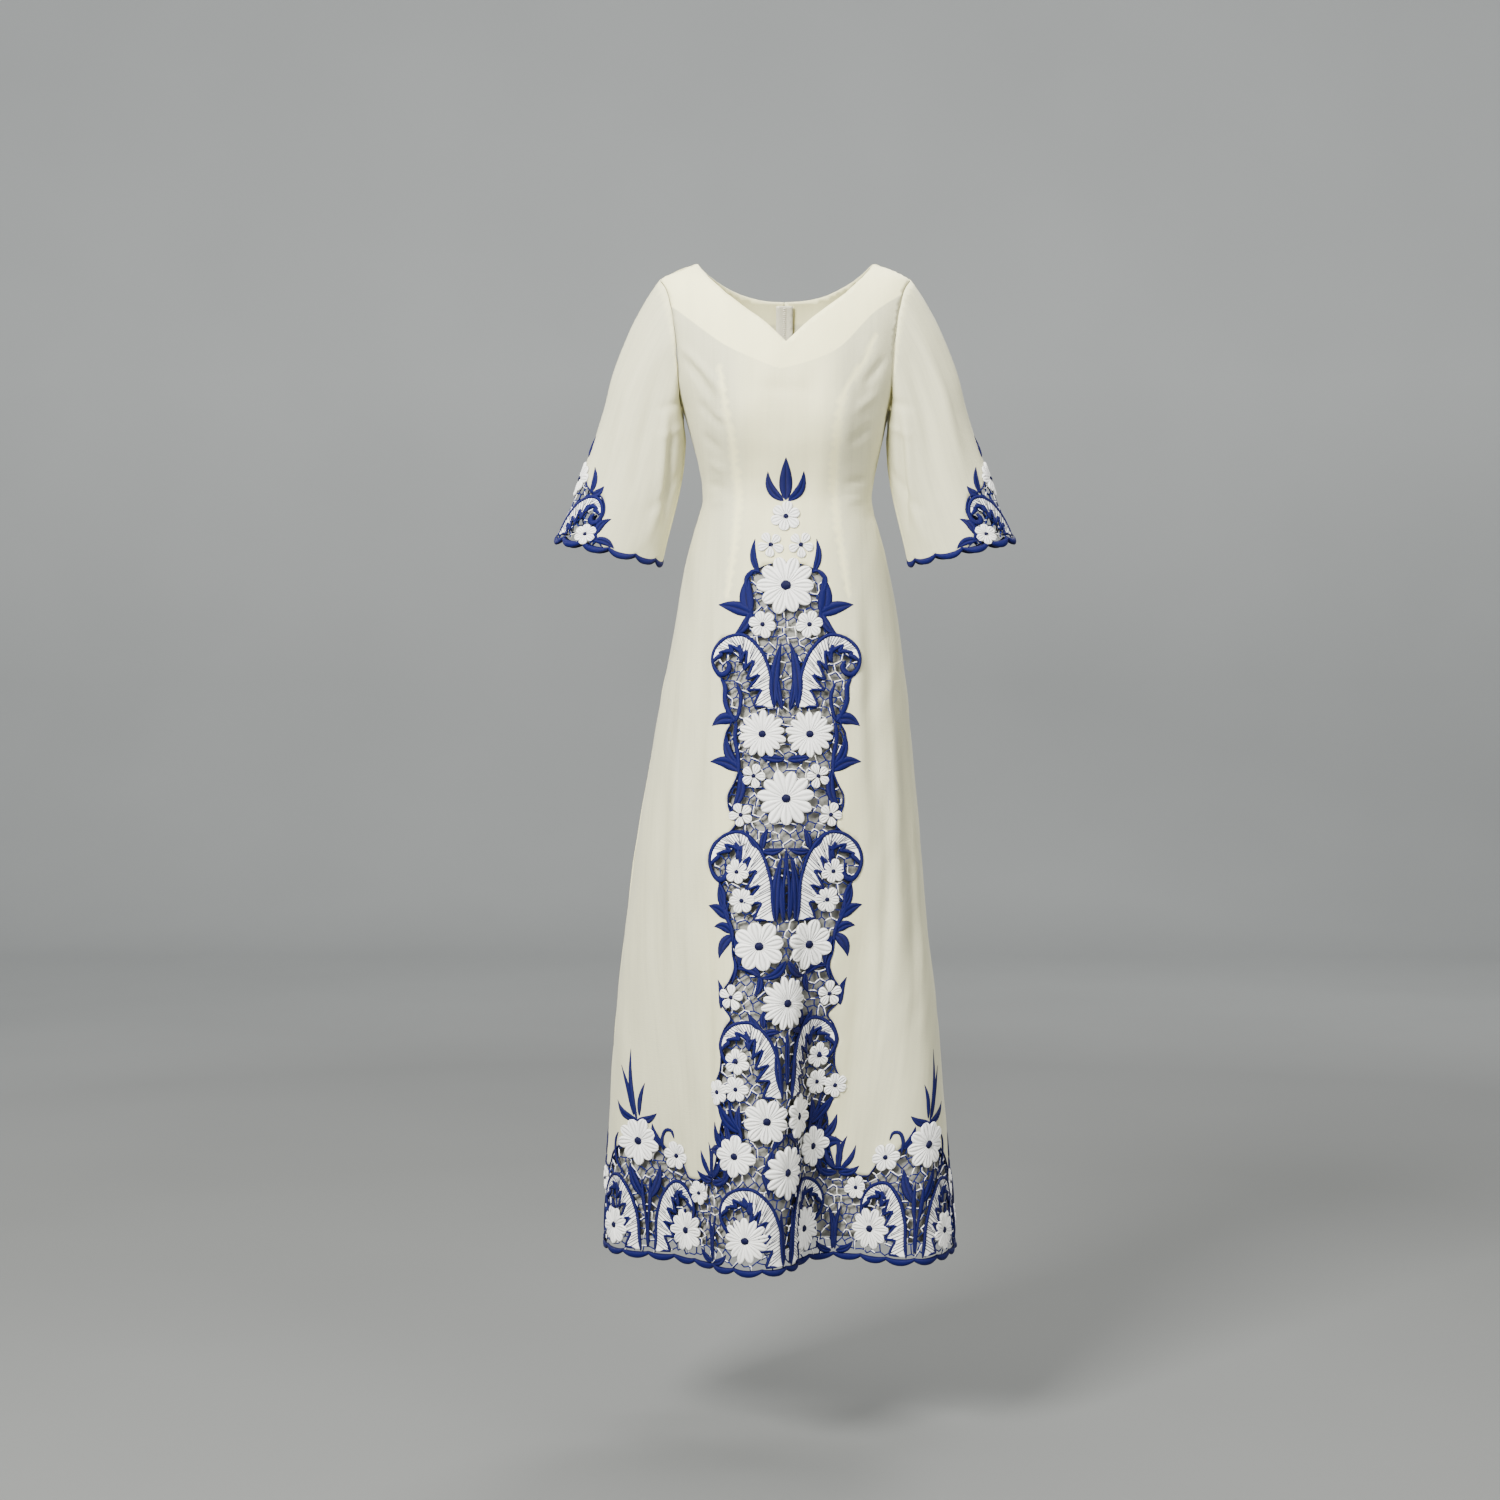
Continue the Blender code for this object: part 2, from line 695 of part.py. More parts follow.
def key(point):
    return (round(float(point[0]) * 1e6), round(float(point[1]) * 1e6))


def solid(name, points, faces, colour):
    mesh = bpy.data.meshes.new(name)
    mesh.from_pydata([tuple(map(float, point)) for point in points], [], faces)
    mesh.update()
    material = bpy.data.materials.new(name)
    material.use_nodes = True
    shader = material.node_tree.nodes["Principled BSDF"]
    shader.inputs["Base Color"].default_value = (*colour, 1.0)
    shader.inputs["Roughness"].default_value = 0.8
    shader.inputs["Metallic"].default_value = 0.0
    mesh.materials.append(material)
    item = bpy.data.objects.new(name, mesh)
    bpy.context.scene.collection.objects.link(item)
    return item


def ring_stops(v, first, last, back, reach, turning):
    """Places along a ring, closer together where it bends."""
    at = np.arange(first, last, 0.003)
    ring_points = body_point(from_back(at, v) if back else at, np.full(len(at), v))
    step = np.diff(ring_points[:, :2], axis=0)
    heading = np.unwrap(np.arctan2(step[:, 1], step[:, 0]))
    cost = np.concatenate(([0.0], np.abs(np.diff(heading)), [0.0])) / turning + 0.003 / reach
    total = np.cumsum(cost)
    count = max(1, int(total[-1]))
    return np.interp((np.arange(count) + 0.5) / count * total[-1], total, at)


def side_reach(v, back):
    return float(half_round(v) - side_round(v) if back else side_round(v))


def row_stops(v, back, part=0):
    """Places of a panel's points on a row: the whole width, or one half (part -1 or 1)."""
    side = side_reach(v, back)
    turning = 0.42 if v < SHARP_V else 0.30
    if not back:
        return ring_stops(v, -side, side, back, 0.072, turning)
    halves = {-1: (-side, 0.0), 1: (0.0, side)}
    chosen = (part,) if part else (-1, 1)
    return np.concatenate([ring_stops(v, *halves[k], back, 0.072, turning) for k in chosen])


def body_grid(back, part=0):
    """Rows of points from the shoulder to the hem."""
    rows = [*even_levels(0.02, UNDERARM_V - 0.024, 0.034), *LEVELS]
    return [(a, v) for v in rows for a in row_stops(v, back, part)]


def strip_room(points):
    """Room inside the front openwork: the strip, joined to the border at the hem."""
    drops = np.interp(points[:, 1], V_GRID, DROP_GRID)
    rows = np.array(STRIP_ROWS)
    half = np.interp(drops, rows[:, 0], rows[:, 1], left=-1.0, right=9.0)
    strip = np.minimum(half - np.abs(points[:, 0]), drops - STRIP_ROWS[0][0])
    return np.maximum(strip, border_room(points))


def border_room(points):
    """Room inside the border: its top edge rises over the middle of each repeat."""
    drops = np.interp(points[:, 1], V_GRID, DROP_GRID)
    wave = (0.5 + 0.5 * np.cos(2 * math.pi * points[:, 0] / REPEAT)) ** 1.5
    top = BORDER_TOP + (BORDER_CREST - BORDER_TOP) * wave
    return np.minimum(drops - top, BORDER_BOTTOM - drops)


def border_parts(middles):
    """Flowers and plumes of the border repeats with these middles."""
    flowers = []
    plumes = []
    for middle in middles:
        for across, drop, radius, petals in BORDER_FLOWERS:
            for sign in ((1,) if across == 0 else (-1, 1)):
                flowers.append(((middle + sign * across, float(v_of(drop))), radius, petals, 0.1 * sign))
        for row in BORDER_PLUMES:
            for sign in (-1, 1):
                line = [(a, float(v_of(drop))) for a, drop in plume_line(row, sign, middle)]
                plumes.append(line_shape(line, row[5]))
    return flowers, plumes


def strip_parts():
    flowers = []
    shapes = []
    for across, drop, radius, petals in STRIP_FLOWERS:
        for sign in ((1,) if across == 0 else (-1, 1)):
            flowers.append(((sign * across, float(v_of(drop))), radius, petals, 0.1 * sign))
    for row in STRIP_PLUMES:
        for sign in (-1, 1):
            line = [(a, float(v_of(drop))) for a, drop in plume_line(row, sign, 0.0)]
            shapes.append(line_shape(line, row[5]))
    for from_a, from_drop, to_a, to_drop, half in STRIP_LEAVES:
        for sign in (-1, 1):
            line = [(sign * from_a, float(v_of(from_drop))), (sign * to_a, float(v_of(to_drop)))]
            shapes.append(line_shape(line, half))
    return flowers, shapes


def make_front():
    neck = neck_line(False)
    right = [*neck, *shoulder_line(False), *armhole_line(False), *side_line(False)[1:-1]]
    corner = side_reach(HEM_V, False) - SEAM / 2
    hem = scallop_edge(SCALLOP_PITCH, -corner, corner, HEM_V, -1)
    outline = [*right, *reversed(hem), *mirrored(right)[:-1]]
    flowers, shapes = strip_parts()
    more, plumes = border_parts((-REPEAT, REPEAT))
    flowers += [item for item in more if abs(item[0][0]) < corner - item[1] - 0.004]
    solids = [round_shape(centre, radius) for centre, radius, _, _ in flowers] + shapes + plumes

    def zone(points):
        edge = side_round(points[:, 1]) - np.abs(points[:, 0]) - 0.006
        return np.minimum(strip_room(points), edge)

    corners = ((-corner, float(v_of(0.35))), (corner, HEM_V))
    gaps = gap_loops(zone, corners, solids, FRONT_GAPS, 11)
    rims, shoulder = facing_rims()
    grid = body_grid(False)
    for row in (rims[FACING_STEP], rims[FACING_WIDTH], shoulder):
        grid += [*row, *mirrored(row)]
    cloth("front", outline, gaps, flowers, grid, front_place, WALL, IVORY)


def make_back(name, sign):
    """One back half, between the centre back seam and the side seam."""
    neck = neck_line(True)[1:]
    top = (SEAM / 2, float(v_of(BACK_NECK_DROP)))
    corner = side_reach(HEM_V, True) - SEAM / 2
    hem = scallop_edge(SCALLOP_PITCH, SEAM / 2, corner, HEM_V, -1)
    centre = [(SEAM / 2, v) for v in reversed(centre_back_levels()[1:-1])]
    loop = [top, *neck, *shoulder_line(True), *armhole_line(True), *side_line(True)[1:-1]]
    loop += [*reversed(hem), *centre]
    outline = loop if sign > 0 else mirrored(loop)
    all_flowers, plumes = border_parts((0.0, sign * REPEAT))
    flowers = []
    for item in all_flowers:
        if item[1] + 0.003 < sign * item[0][0] < corner - item[1] - 0.003:
            flowers.append(item)
    solids = [round_shape(at, radius) for at, radius, _, _ in flowers] + plumes

    def zone(points):
        edge = half_round(points[:, 1]) - side_round(points[:, 1]) - sign * points[:, 0] - 0.006
        return np.minimum(np.minimum(border_room(points), edge), sign * points[:, 0] - 0.004)

    top_v = float(v_of(BORDER_CREST))
    corners = ((min(0, sign * corner), top_v), (max(0, sign * corner), HEM_V))
    gaps = gap_loops(zone, corners, solids, BACK_GAPS_EACH, 12)
    grid = body_grid(True, sign)
    cloth(name, outline, gaps, flowers, grid, back_place, WALL, IVORY)


def armhole_curve(sign, back):
    """Places along an armhole edge from the shoulder tip to the underarm, and shares of its length."""
    rows = np.array(ARMHOLE_ROWS)
    turn = np.linspace(0.0, math.pi, 90)
    drop = SHOULDER_DROP + (UNDERARM_DROP - SHOULDER_DROP) * (1 - np.cos(turn)) / 2
    v = v_of(drop)
    inward = smooth_curve(drop, rows[:, 0], rows[:, 2 if back else 1])
    side = side_round(v)
    u = side + inward if back else side - inward
    points = lifted(body_point, sign * u, v, np.full(len(v), WALL / 2))
    run = np.concatenate(([0.0], np.cumsum(np.linalg.norm(np.diff(points, axis=0), axis=1))))
    return points, run / run[-1]


ARMHOLES = {(sign, back): armhole_curve(sign, back) for sign in (-1, 1) for back in (False, True)}


def sleeve_length(part):
    return SLEEVE_OUTER + (SLEEVE_INNER - SLEEVE_OUTER) * part


def sleeve_point(sign, back, a, h):
    """Places on a sleeve half: a from its outer line, h above the cuff edge."""
    part = np.clip(np.asarray(a, float) / SLEEVE_ROUND, -0.05, 1.05)
    way = 1 - np.asarray(h, float) / sleeve_length(part)
    points, share = ARMHOLES[(sign, back)]
    near = np.clip(part, 0.0, 1.0)
    top = np.stack([np.interp(near, share, points[:, axis]) for axis in range(3)], axis=1)
    under = np.sin(math.pi / 2 * near) ** 4
    top[:, 0] += sign * (0.0010 + 0.0016 * under)
    angle = math.pi * part
    facing = 1.0 if back else -1.0
    cuff = np.stack([
        sign * (CUFF_CENTRE[0] + CUFF_ACROSS[0] * np.cos(angle)),
        CUFF_CENTRE[1] + facing * CUFF_DEPTH * np.sin(angle),
        CUFF_CENTRE[2] + CUFF_ACROSS[2] * np.cos(angle),
    ], axis=1)
    rows = np.array(SLEEVE_ROWS)
    out = smooth_curve(way, rows[:, 0], rows[:, 1]) * np.cos(math.pi / 2 * near) ** 2
    into = smooth_curve(way, rows[:, 0], rows[:, 2]) * under
    place = top * (1 - way)[:, None] + cuff * way[:, None]
    place[:, 0] += sign * (out - into)
    return place


def sleeve_place(sign, back):
    turned = sign * (1.0 if back else -1.0)

    def place(flat, lift):
        step = 0.0015
        a, h = flat[:, 0], flat[:, 1]
        across = sleeve_point(sign, back, a + step, h) - sleeve_point(sign, back, a - step, h)
        up = sleeve_point(sign, back, a, h + step) - sleeve_point(sign, back, a, h - step)
        normal = np.cross(across, up) * turned
        normal /= np.linalg.norm(normal, axis=1)[:, None]
        out = np.asarray(lift, float).reshape(-1, 1) - WALL / 2
        return sleeve_point(sign, back, a, h) + normal * out

    return place


def make_sleeve(name, sign, back):
    """Half a sleeve. Its flat runs round from the outer line and up from the cuff edge."""
    pitch = SLEEVE_ROUND / CUFF_SCALLOPS_EACH_HALF
    low, high = SEAM / 2, SLEEVE_ROUND - SEAM / 2
    cuff = scallop_edge(pitch, low, high, 0.0, 1, (0.0, 0.3, 0.7))
    stops = even_levels(low, high, (high - low) / 12)
    cap = [(a, sleeve_length(a / SLEEVE_ROUND)) for a in stops]
    inner = [(high, h) for h in even_levels(0.0, cap[-1][1], 0.045)[1:-1]]
    outer = [(low, h) for h in reversed(even_levels(0.0, cap[0][1], 0.045)[1:-1])]
    outline = [*cuff, *inner, *reversed(cap), *outer]
    flowers = []
    for a, h, radius, petals in SLEEVE_FLOWERS:
        if a > radius:
            flowers.append(((a, h), radius, petals, 0.2))
    plume = line_shape(plume_line(SLEEVE_PLUME, 1, 0.0), SLEEVE_PLUME[-1])
    solids = [round_shape(at, radius) for at, radius, _, _ in flowers] + [plume]

    def zone(points):
        a, h = points[:, 0], points[:, 1]
        top = SLEEVE_CREST * (1 - (np.clip(a, 0, 1) / SLEEVE_ZONE) ** 1.5)
        return np.minimum(np.minimum(top - h, h - 0.013), a - 0.004)

    corners = ((0.006, 0.010), (SLEEVE_ZONE, SLEEVE_CREST))
    gaps = gap_loops(zone, corners, solids, SLEEVE_GAPS_EACH, 13)
    grid = []
    for h in even_levels(0.048, 0.35, 0.050):
        for a in np.linspace(0.024, 0.176, 5):
            if h < sleeve_length(a / SLEEVE_ROUND) - 0.012:
                grid.append((a, h))
    turned = back == (sign > 0)
    cloth(name, outline, gaps, flowers, grid, sleeve_place(sign, back), WALL, IVORY, turned)


def make_lining(name, back):
    first = LEVEL_DROPS.index(LINING_TOP)
    top_v, low_v = LEVELS[first], float(v_of(LINING_END))
    levels = [*LEVELS[first:first + 5], *LEVELS[first + 6:-3:2], low_v]
    right = []
    for v in levels:
        right.append((side_reach(v, back) - 0.0012 - 0.0030 * (v - top_v), v))
    top = [(a, top_v) for a in sorted(row_stops(top_v, back))]
    if back:
        slot_v = float(v_of(ZIP_END))
        slot = [(ZIP_HALF + 0.003, v) for v in (top_v, top_v + 0.05, top_v + 0.10, slot_v)]
        left_top = [point for point in top if point[0] < -ZIP_HALF - 0.008]
        right_top = [point for point in top if point[0] > ZIP_HALF + 0.008]
        top = [*left_top, *((-a, v) for a, v in slot), *reversed(slot), *right_top]
    end = right[-1][0] - 0.01
    low = [(a, low_v) for a in ring_stops(low_v, -end, end, back, 0.06, 0.40)]
    outline = [*top, *right, *reversed(low), *mirrored(right)]
    grid = [(a, v) for v in levels[1:4] for a in row_stops(v, back)]
    for v in levels[4:-1]:
        side = side_reach(v, back)
        grid += [(a, v) for a in ring_stops(v, -side, side, back, 0.10, 0.50)]
    surface = back_place if back else front_place

    def place(flat, lift):
        hang = LINING_GAP + 0.0050 * ease((flat[:, 1] - top_v) / 0.20)
        return surface(flat, lift - LINING_WALL - hang)

    cloth(name, outline, [], [], grid, place, LINING_WALL, LINING_COLOUR)


def facing_rims():
    """Rows of facing points on the right half, by distance from the neckline, and its shoulder end."""
    last = len(NECK_ROWS) - 1
    rims = {0.0: [], FACING_STEP: [], FACING_WIDTH: []}
    for k, (across, drop) in enumerate(NECK_ROWS):
        before, after = NECK_ROWS[max(k - 1, 0)], NECK_ROWS[min(k + 1, last)]
        way = np.array(after) - np.array(before)
        off = np.array([-way[1], way[0]]) / np.linalg.norm(way) if k else np.array([0.0, 1.0])
        for width, rim in rims.items():
            at = across + width * off[0]
            v = float(v_of(drop + width * off[1] + 0.0005))
            if k == 0 or (at > 0.004 and v > 0.006 and at < side_round(v) - 0.012):
                rim.append((round_at(at, v) if k else 0.0, v))
    shoulder = [(float(side_round(v)) - 0.0075, v) for v in (0.004, 0.014, 0.026)]
    return rims, shoulder


def make_facing():
    """The front neck facing: a band inside the neckline, ending at the shoulder seams."""
    rims, shoulder = facing_rims()
    right = [*rims[0.0], *shoulder]
    low_right = rims[FACING_WIDTH]
    low_left = [(-a, b) for a, b in low_right[1:]]
    outline = [*right, *reversed(low_right), *low_left, *mirrored(right)[:-1]]
    grid = [*rims[FACING_STEP], *mirrored(rims[FACING_STEP])[:-1]]
    neck = [*mirrored(rims[0.0]), *rims[0.0][1:]]

    def place(flat, lift):
        hang = 0.0004 + 0.0020 * ease(far_from_line(flat, neck) / 0.015)
        return front_place(flat, lift - LINING_WALL - hang)

    cloth("neck_facing", outline, [], [], grid, place, LINING_WALL, IVORY)


def centre_back_levels():
    upper = even_levels(float(v_of(BACK_NECK_DROP)), LEVELS[0], 0.045)
    return [*upper[:-1], *LEVELS, HEM_V]


def make_zip():
    levels = [v for v in centre_back_levels() if v < v_of(ZIP_END)]
    levels[0] += 0.004
    right = [(ZIP_HALF, v) for v in levels]
    outline = [(0.0, levels[0]), *right, (0.0, levels[-1]), *mirrored(right)]

    def place(flat, lift):
        hang = 0.0007 + 0.0010 * np.abs(flat[:, 0]) / ZIP_HALF
        return back_place(flat, lift - LINING_WALL - hang)

    cloth("back_zip", outline, [], [], [(0.0, v) for v in levels[1:-1]], place, LINING_WALL, IVORY)


def main():
    for item in list(bpy.data.objects):
        bpy.data.objects.remove(item, do_unlink=True)
    make_front()
    make_back("back_right", 1)
    make_back("back_left", -1)
    for side, sign in (("right", -1), ("left", 1)):
        make_sleeve(f"sleeve_{side}_front", sign, False)
        make_sleeve(f"sleeve_{side}_back", sign, True)
    make_facing()
    make_lining("lining_front", False)
    make_lining("lining_back", True)
    make_zip()


if __name__ == "__main__":
    main()
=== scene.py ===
"""The look of a floor-length V-neck dress with cutwork embroidery, in metres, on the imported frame."""

import math

import bpy
import numpy as np
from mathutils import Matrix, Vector
from mathutils.geometry import delaunay_2d_cdt


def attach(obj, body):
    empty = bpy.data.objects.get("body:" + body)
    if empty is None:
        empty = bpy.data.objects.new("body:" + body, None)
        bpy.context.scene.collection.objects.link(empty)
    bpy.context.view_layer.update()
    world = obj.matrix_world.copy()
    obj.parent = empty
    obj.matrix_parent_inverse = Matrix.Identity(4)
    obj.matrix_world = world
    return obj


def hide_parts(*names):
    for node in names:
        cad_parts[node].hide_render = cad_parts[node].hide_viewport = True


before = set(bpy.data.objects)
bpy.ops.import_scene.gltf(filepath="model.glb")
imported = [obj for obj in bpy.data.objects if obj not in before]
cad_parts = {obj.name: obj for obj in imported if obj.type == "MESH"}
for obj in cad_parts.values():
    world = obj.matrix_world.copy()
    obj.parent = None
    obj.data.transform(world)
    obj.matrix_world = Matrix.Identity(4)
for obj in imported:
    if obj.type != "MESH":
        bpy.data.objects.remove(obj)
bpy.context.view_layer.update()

# Sizes shared with the solids
WALL = 0.0022
SEAM = 0.0004
NECK_HALF = 0.120
SHOULDER_DROP = 0.020
UNDERARM_DROP = 0.197
HEM_DROP = 1.351
SQUARENESS = 2.3
HEM_SCALLOPS_EACH_SIDE = 18
SCALLOP_DEPTH = 0.0065
CUFF_SCALLOPS_EACH_HALF = 6
CUFF_SCALLOP_DEPTH = 0.0085
BACK_NECK_DROP = 0.045
LINING_TOP = 0.338
LINING_END = 1.320
ZIP_END = 0.516
ZIP_SLOT_END = 0.522
BUST_ACROSS = 0.072
BUST_DROP = 0.212
BUST_REACH = 0.012
BUST_SPREAD = 0.046
SLEEVE_ROUND = 0.200
SLEEVE_OUTER = 0.390
SLEEVE_INNER = 0.220
CUFF_CENTRE = (0.2433, -0.010, -0.3960)
CUFF_ACROSS = (0.0733, 0.0, 0.0165)
CUFF_DEPTH = 0.048

# Heights over the solids' inner face: outer and inner side of each cloth, foot of the motifs and of the net
DRESS_HEIGHTS = (0.0020, 0.0010)
FACING_HEIGHTS = (0.0004, -0.0002)
LINING_HEIGHTS = (-0.0004, -0.0009)
TAPE_HEIGHTS = (0.0006, 0.0)
MOTIF_BASE = 0.0018
NET_BASE = 0.0004

# Rise of leaves and stems, and of the cord round the openwork
LEAF_RISE = 0.0022
EDGE_CORD_RISE = 0.0019

# Spacing of mesh points on the cloth, of points along curves and edges, and of the net of bars
STEP = 0.0062
CURVE_STEP = 0.003
EDGE_STEP = 0.004
NET_PITCH = 0.0158
SLEEVE_NET_PITCH = 0.0140
PLUME_STEP = 0.0020

# Bars of the net: half width and rise of white and blue ones, how far a blue one lies beside a white one,
# the share of places with a white one and the share with only a white one
WHITE_BAR = (0.00072, 0.0014)
BLUE_BAR = (0.00090, 0.0013)
BESIDE = 0.00140
WHITE_SHARE = 0.36
ONLY_WHITE_SHARE = 0.10

# Drops on the openwork: where its edge meets the side seam, where the cord on that edge starts and ends,
# where the motifs' room beside the seam is measured, and where the openwork and the net end
BORDER_SIDE_DROP = 1.224
CORD_START_DROP = 0.414
CORD_END_DROP = 1.22
MOTIF_LIMIT_DROP = 1.25
OPENWORK_END = 1.3385
NET_END = 1.345

# Gap between the openwork and the side seam
SIDE_GAP = 0.0015

# Widths of the turned-in cloth at seams, of a front dart, and of the double cloth at the back neck
ALLOWANCE = 0.009
CENTRE_ALLOWANCE = 0.012
ARMHOLE_ALLOWANCE = 0.008
DART_WIDTH = 0.0085
BACK_NECK_WIDTH = 0.030

# Body rings: drop below the neck points, reach to the viewer's left and right, front depth, back depth
RING_ROWS = (
    (0.000, 0.1200, 0.1200, 0.004, 0.004),
    (0.004, 0.1320, 0.1320, 0.014, 0.014),
    (0.008, 0.1430, 0.1430, 0.022, 0.023),
    (0.012, 0.1520, 0.1520, 0.029, 0.031),
    (0.016, 0.1600, 0.1600, 0.036, 0.038),
    (0.020, 0.1680, 0.1680, 0.042, 0.044),
    (0.032, 0.1740, 0.1740, 0.055, 0.058),
    (0.050, 0.1770, 0.1770, 0.069, 0.073),
    (0.080, 0.1740, 0.1740, 0.086, 0.088),
    (0.105, 0.1690, 0.1690, 0.096, 0.095),
    (0.130, 0.1630, 0.1630, 0.104, 0.099),
    (0.160, 0.1540, 0.1545, 0.110, 0.100),
    (0.197, 0.1380, 0.1410, 0.112, 0.097),
    (0.237, 0.1260, 0.1320, 0.108, 0.090),
    (0.278, 0.1152, 0.1225, 0.096, 0.082),
    (0.299, 0.1112, 0.1190, 0.089, 0.079),
    (0.319, 0.1108, 0.1166, 0.086, 0.079),
    (0.340, 0.1150, 0.1193, 0.089, 0.084),
    (0.360, 0.1218, 0.1262, 0.094, 0.092),
    (0.401, 0.1331, 0.1372, 0.102, 0.106),
    (0.442, 0.1405, 0.1455, 0.108, 0.116),
    (0.497, 0.1500, 0.1550, 0.113, 0.119),
    (0.580, 0.1663, 0.1652, 0.118, 0.121),
    (0.662, 0.1802, 0.1730, 0.122, 0.123),
    (0.745, 0.1950, 0.1809, 0.126, 0.125),
    (0.828, 0.2080, 0.1875, 0.130, 0.127),
    (0.912, 0.2190, 0.1955, 0.133, 0.129),
    (0.995, 0.2280, 0.2050, 0.136, 0.131),
    (1.079, 0.2350, 0.2130, 0.139, 0.133),
    (1.163, 0.2405, 0.2195, 0.141, 0.135),
    (1.247, 0.2452, 0.2270, 0.143, 0.137),
    (1.362, 0.2496, 0.2357, 0.145, 0.140),
)

# Front folds: place across, reach forward at full size, drop where it starts, drop where it is full
FRONT_FOLDS = (
    (-0.225, -0.006, 0.70, 1.35),
    (-0.181, -0.020, 0.70, 1.35),
    (-0.147, -0.019, 0.72, 1.35),
    (-0.120, -0.001, 0.75, 1.35),
    (-0.105, 0.009, 0.80, 1.30),
    (-0.089, 0.030, 0.80, 1.25),
    (-0.048, 0.054, 0.66, 1.35),
    (-0.014, 0.045, 0.66, 1.35),
    (0.007, 0.020, 0.68, 1.35),
    (0.021, -0.024, 0.68, 1.35),
    (0.052, -0.052, 0.66, 1.35),
    (0.088, -0.043, 0.66, 1.35),
    (0.124, -0.012, 0.70, 1.35),
    (0.160, 0.018, 0.70, 1.35),
    (0.191, 0.030, 0.70, 1.35),
    (0.214, 0.024, 0.80, 1.35),
    (0.236, 0.008, 0.90, 1.35),
)

# Back folds: the same columns, reach backward
BACK_FOLDS = (
    (-0.235, 0.000, 0.80, 1.35),
    (-0.190, 0.014, 0.70, 1.35),
    (-0.130, -0.012, 0.66, 1.35),
    (-0.070, 0.018, 0.62, 1.35),
    (-0.010, -0.010, 0.66, 1.35),
    (0.060, 0.016, 0.62, 1.35),
    (0.115, -0.010, 0.66, 1.35),
    (0.165, 0.008, 0.70, 1.35),
    (0.222, 0.000, 0.80, 1.35),
)

# Front neckline: distance from the centre line, drop
NECK_ROWS = (
    (0.0000, 0.112), (0.0110, 0.101), (0.0220, 0.090), (0.0350, 0.079), (0.0500, 0.068),
    (0.0655, 0.056), (0.0800, 0.045), (0.0920, 0.033), (0.1040, 0.021), (0.1140, 0.009),
    (0.1200, 0.000),
)

# Armhole edge: drop, distance in from the side line on the front, on the back
ARMHOLE_ROWS = (
    (0.020, 0.000, 0.000),
    (0.026, 0.017, 0.015),
    (0.036, 0.033, 0.028),
    (0.052, 0.047, 0.041),
    (0.079, 0.058, 0.052),
    (0.108, 0.062, 0.057),
    (0.138, 0.060, 0.057),
    (0.162, 0.052, 0.050),
    (0.180, 0.039, 0.038),
    (0.191, 0.022, 0.022),
    (0.197, 0.000, 0.000),
)

# Sleeve fullness: share of the way down, outward on the outer line, toward the body on the inner line
SLEEVE_ROWS = (
    (0.00, 0.0000, 0.0000),
    (0.08, 0.0080, 0.0050),
    (0.20, 0.0125, 0.0110),
    (0.35, 0.0110, 0.0125),
    (0.50, 0.0040, 0.0115),
    (0.65, -0.0010, 0.0085),
    (0.85, -0.0040, 0.0035),
    (1.00, 0.0000, 0.0000),
)

# Lower edge of the front neck facing on the cloth: distance from the centre line, drop
FACING_ROWS = (
    (-0.1900, 0.040), (-0.1570, 0.061), (-0.1030, 0.101), (-0.0720, 0.121), (-0.0200, 0.144),
    (-0.0080, 0.148), (0.0360, 0.136), (0.0740, 0.117), (0.1190, 0.071), (0.1550, 0.047),
    (0.1900, 0.030),
)

# Contour darts of the front, from the bust to the hip: distance from the centre line, drop
LEFT_DART = (
    (-0.0910, 0.144), (-0.0870, 0.164), (-0.0830, 0.200), (-0.0750, 0.240), (-0.0730, 0.268),
    (-0.0690, 0.300), (-0.0670, 0.324), (-0.0710, 0.376), (-0.0760, 0.418), (-0.0800, 0.450),
)
RIGHT_DART = (
    (0.1230, 0.101), (0.1080, 0.136), (0.0800, 0.176), (0.0720, 0.208), (0.0680, 0.268),
    (0.0680, 0.308), (0.0720, 0.352), (0.0800, 0.416), (0.0850, 0.450),
)
BACK_DARTS = (
    ((-0.0800, 0.190), (-0.0720, 0.260), (-0.0680, 0.320), (-0.0740, 0.400), (-0.0800, 0.450)),
    ((0.0800, 0.190), (0.0720, 0.260), (0.0680, 0.320), (0.0740, 0.400), (0.0800, 0.450)),
)

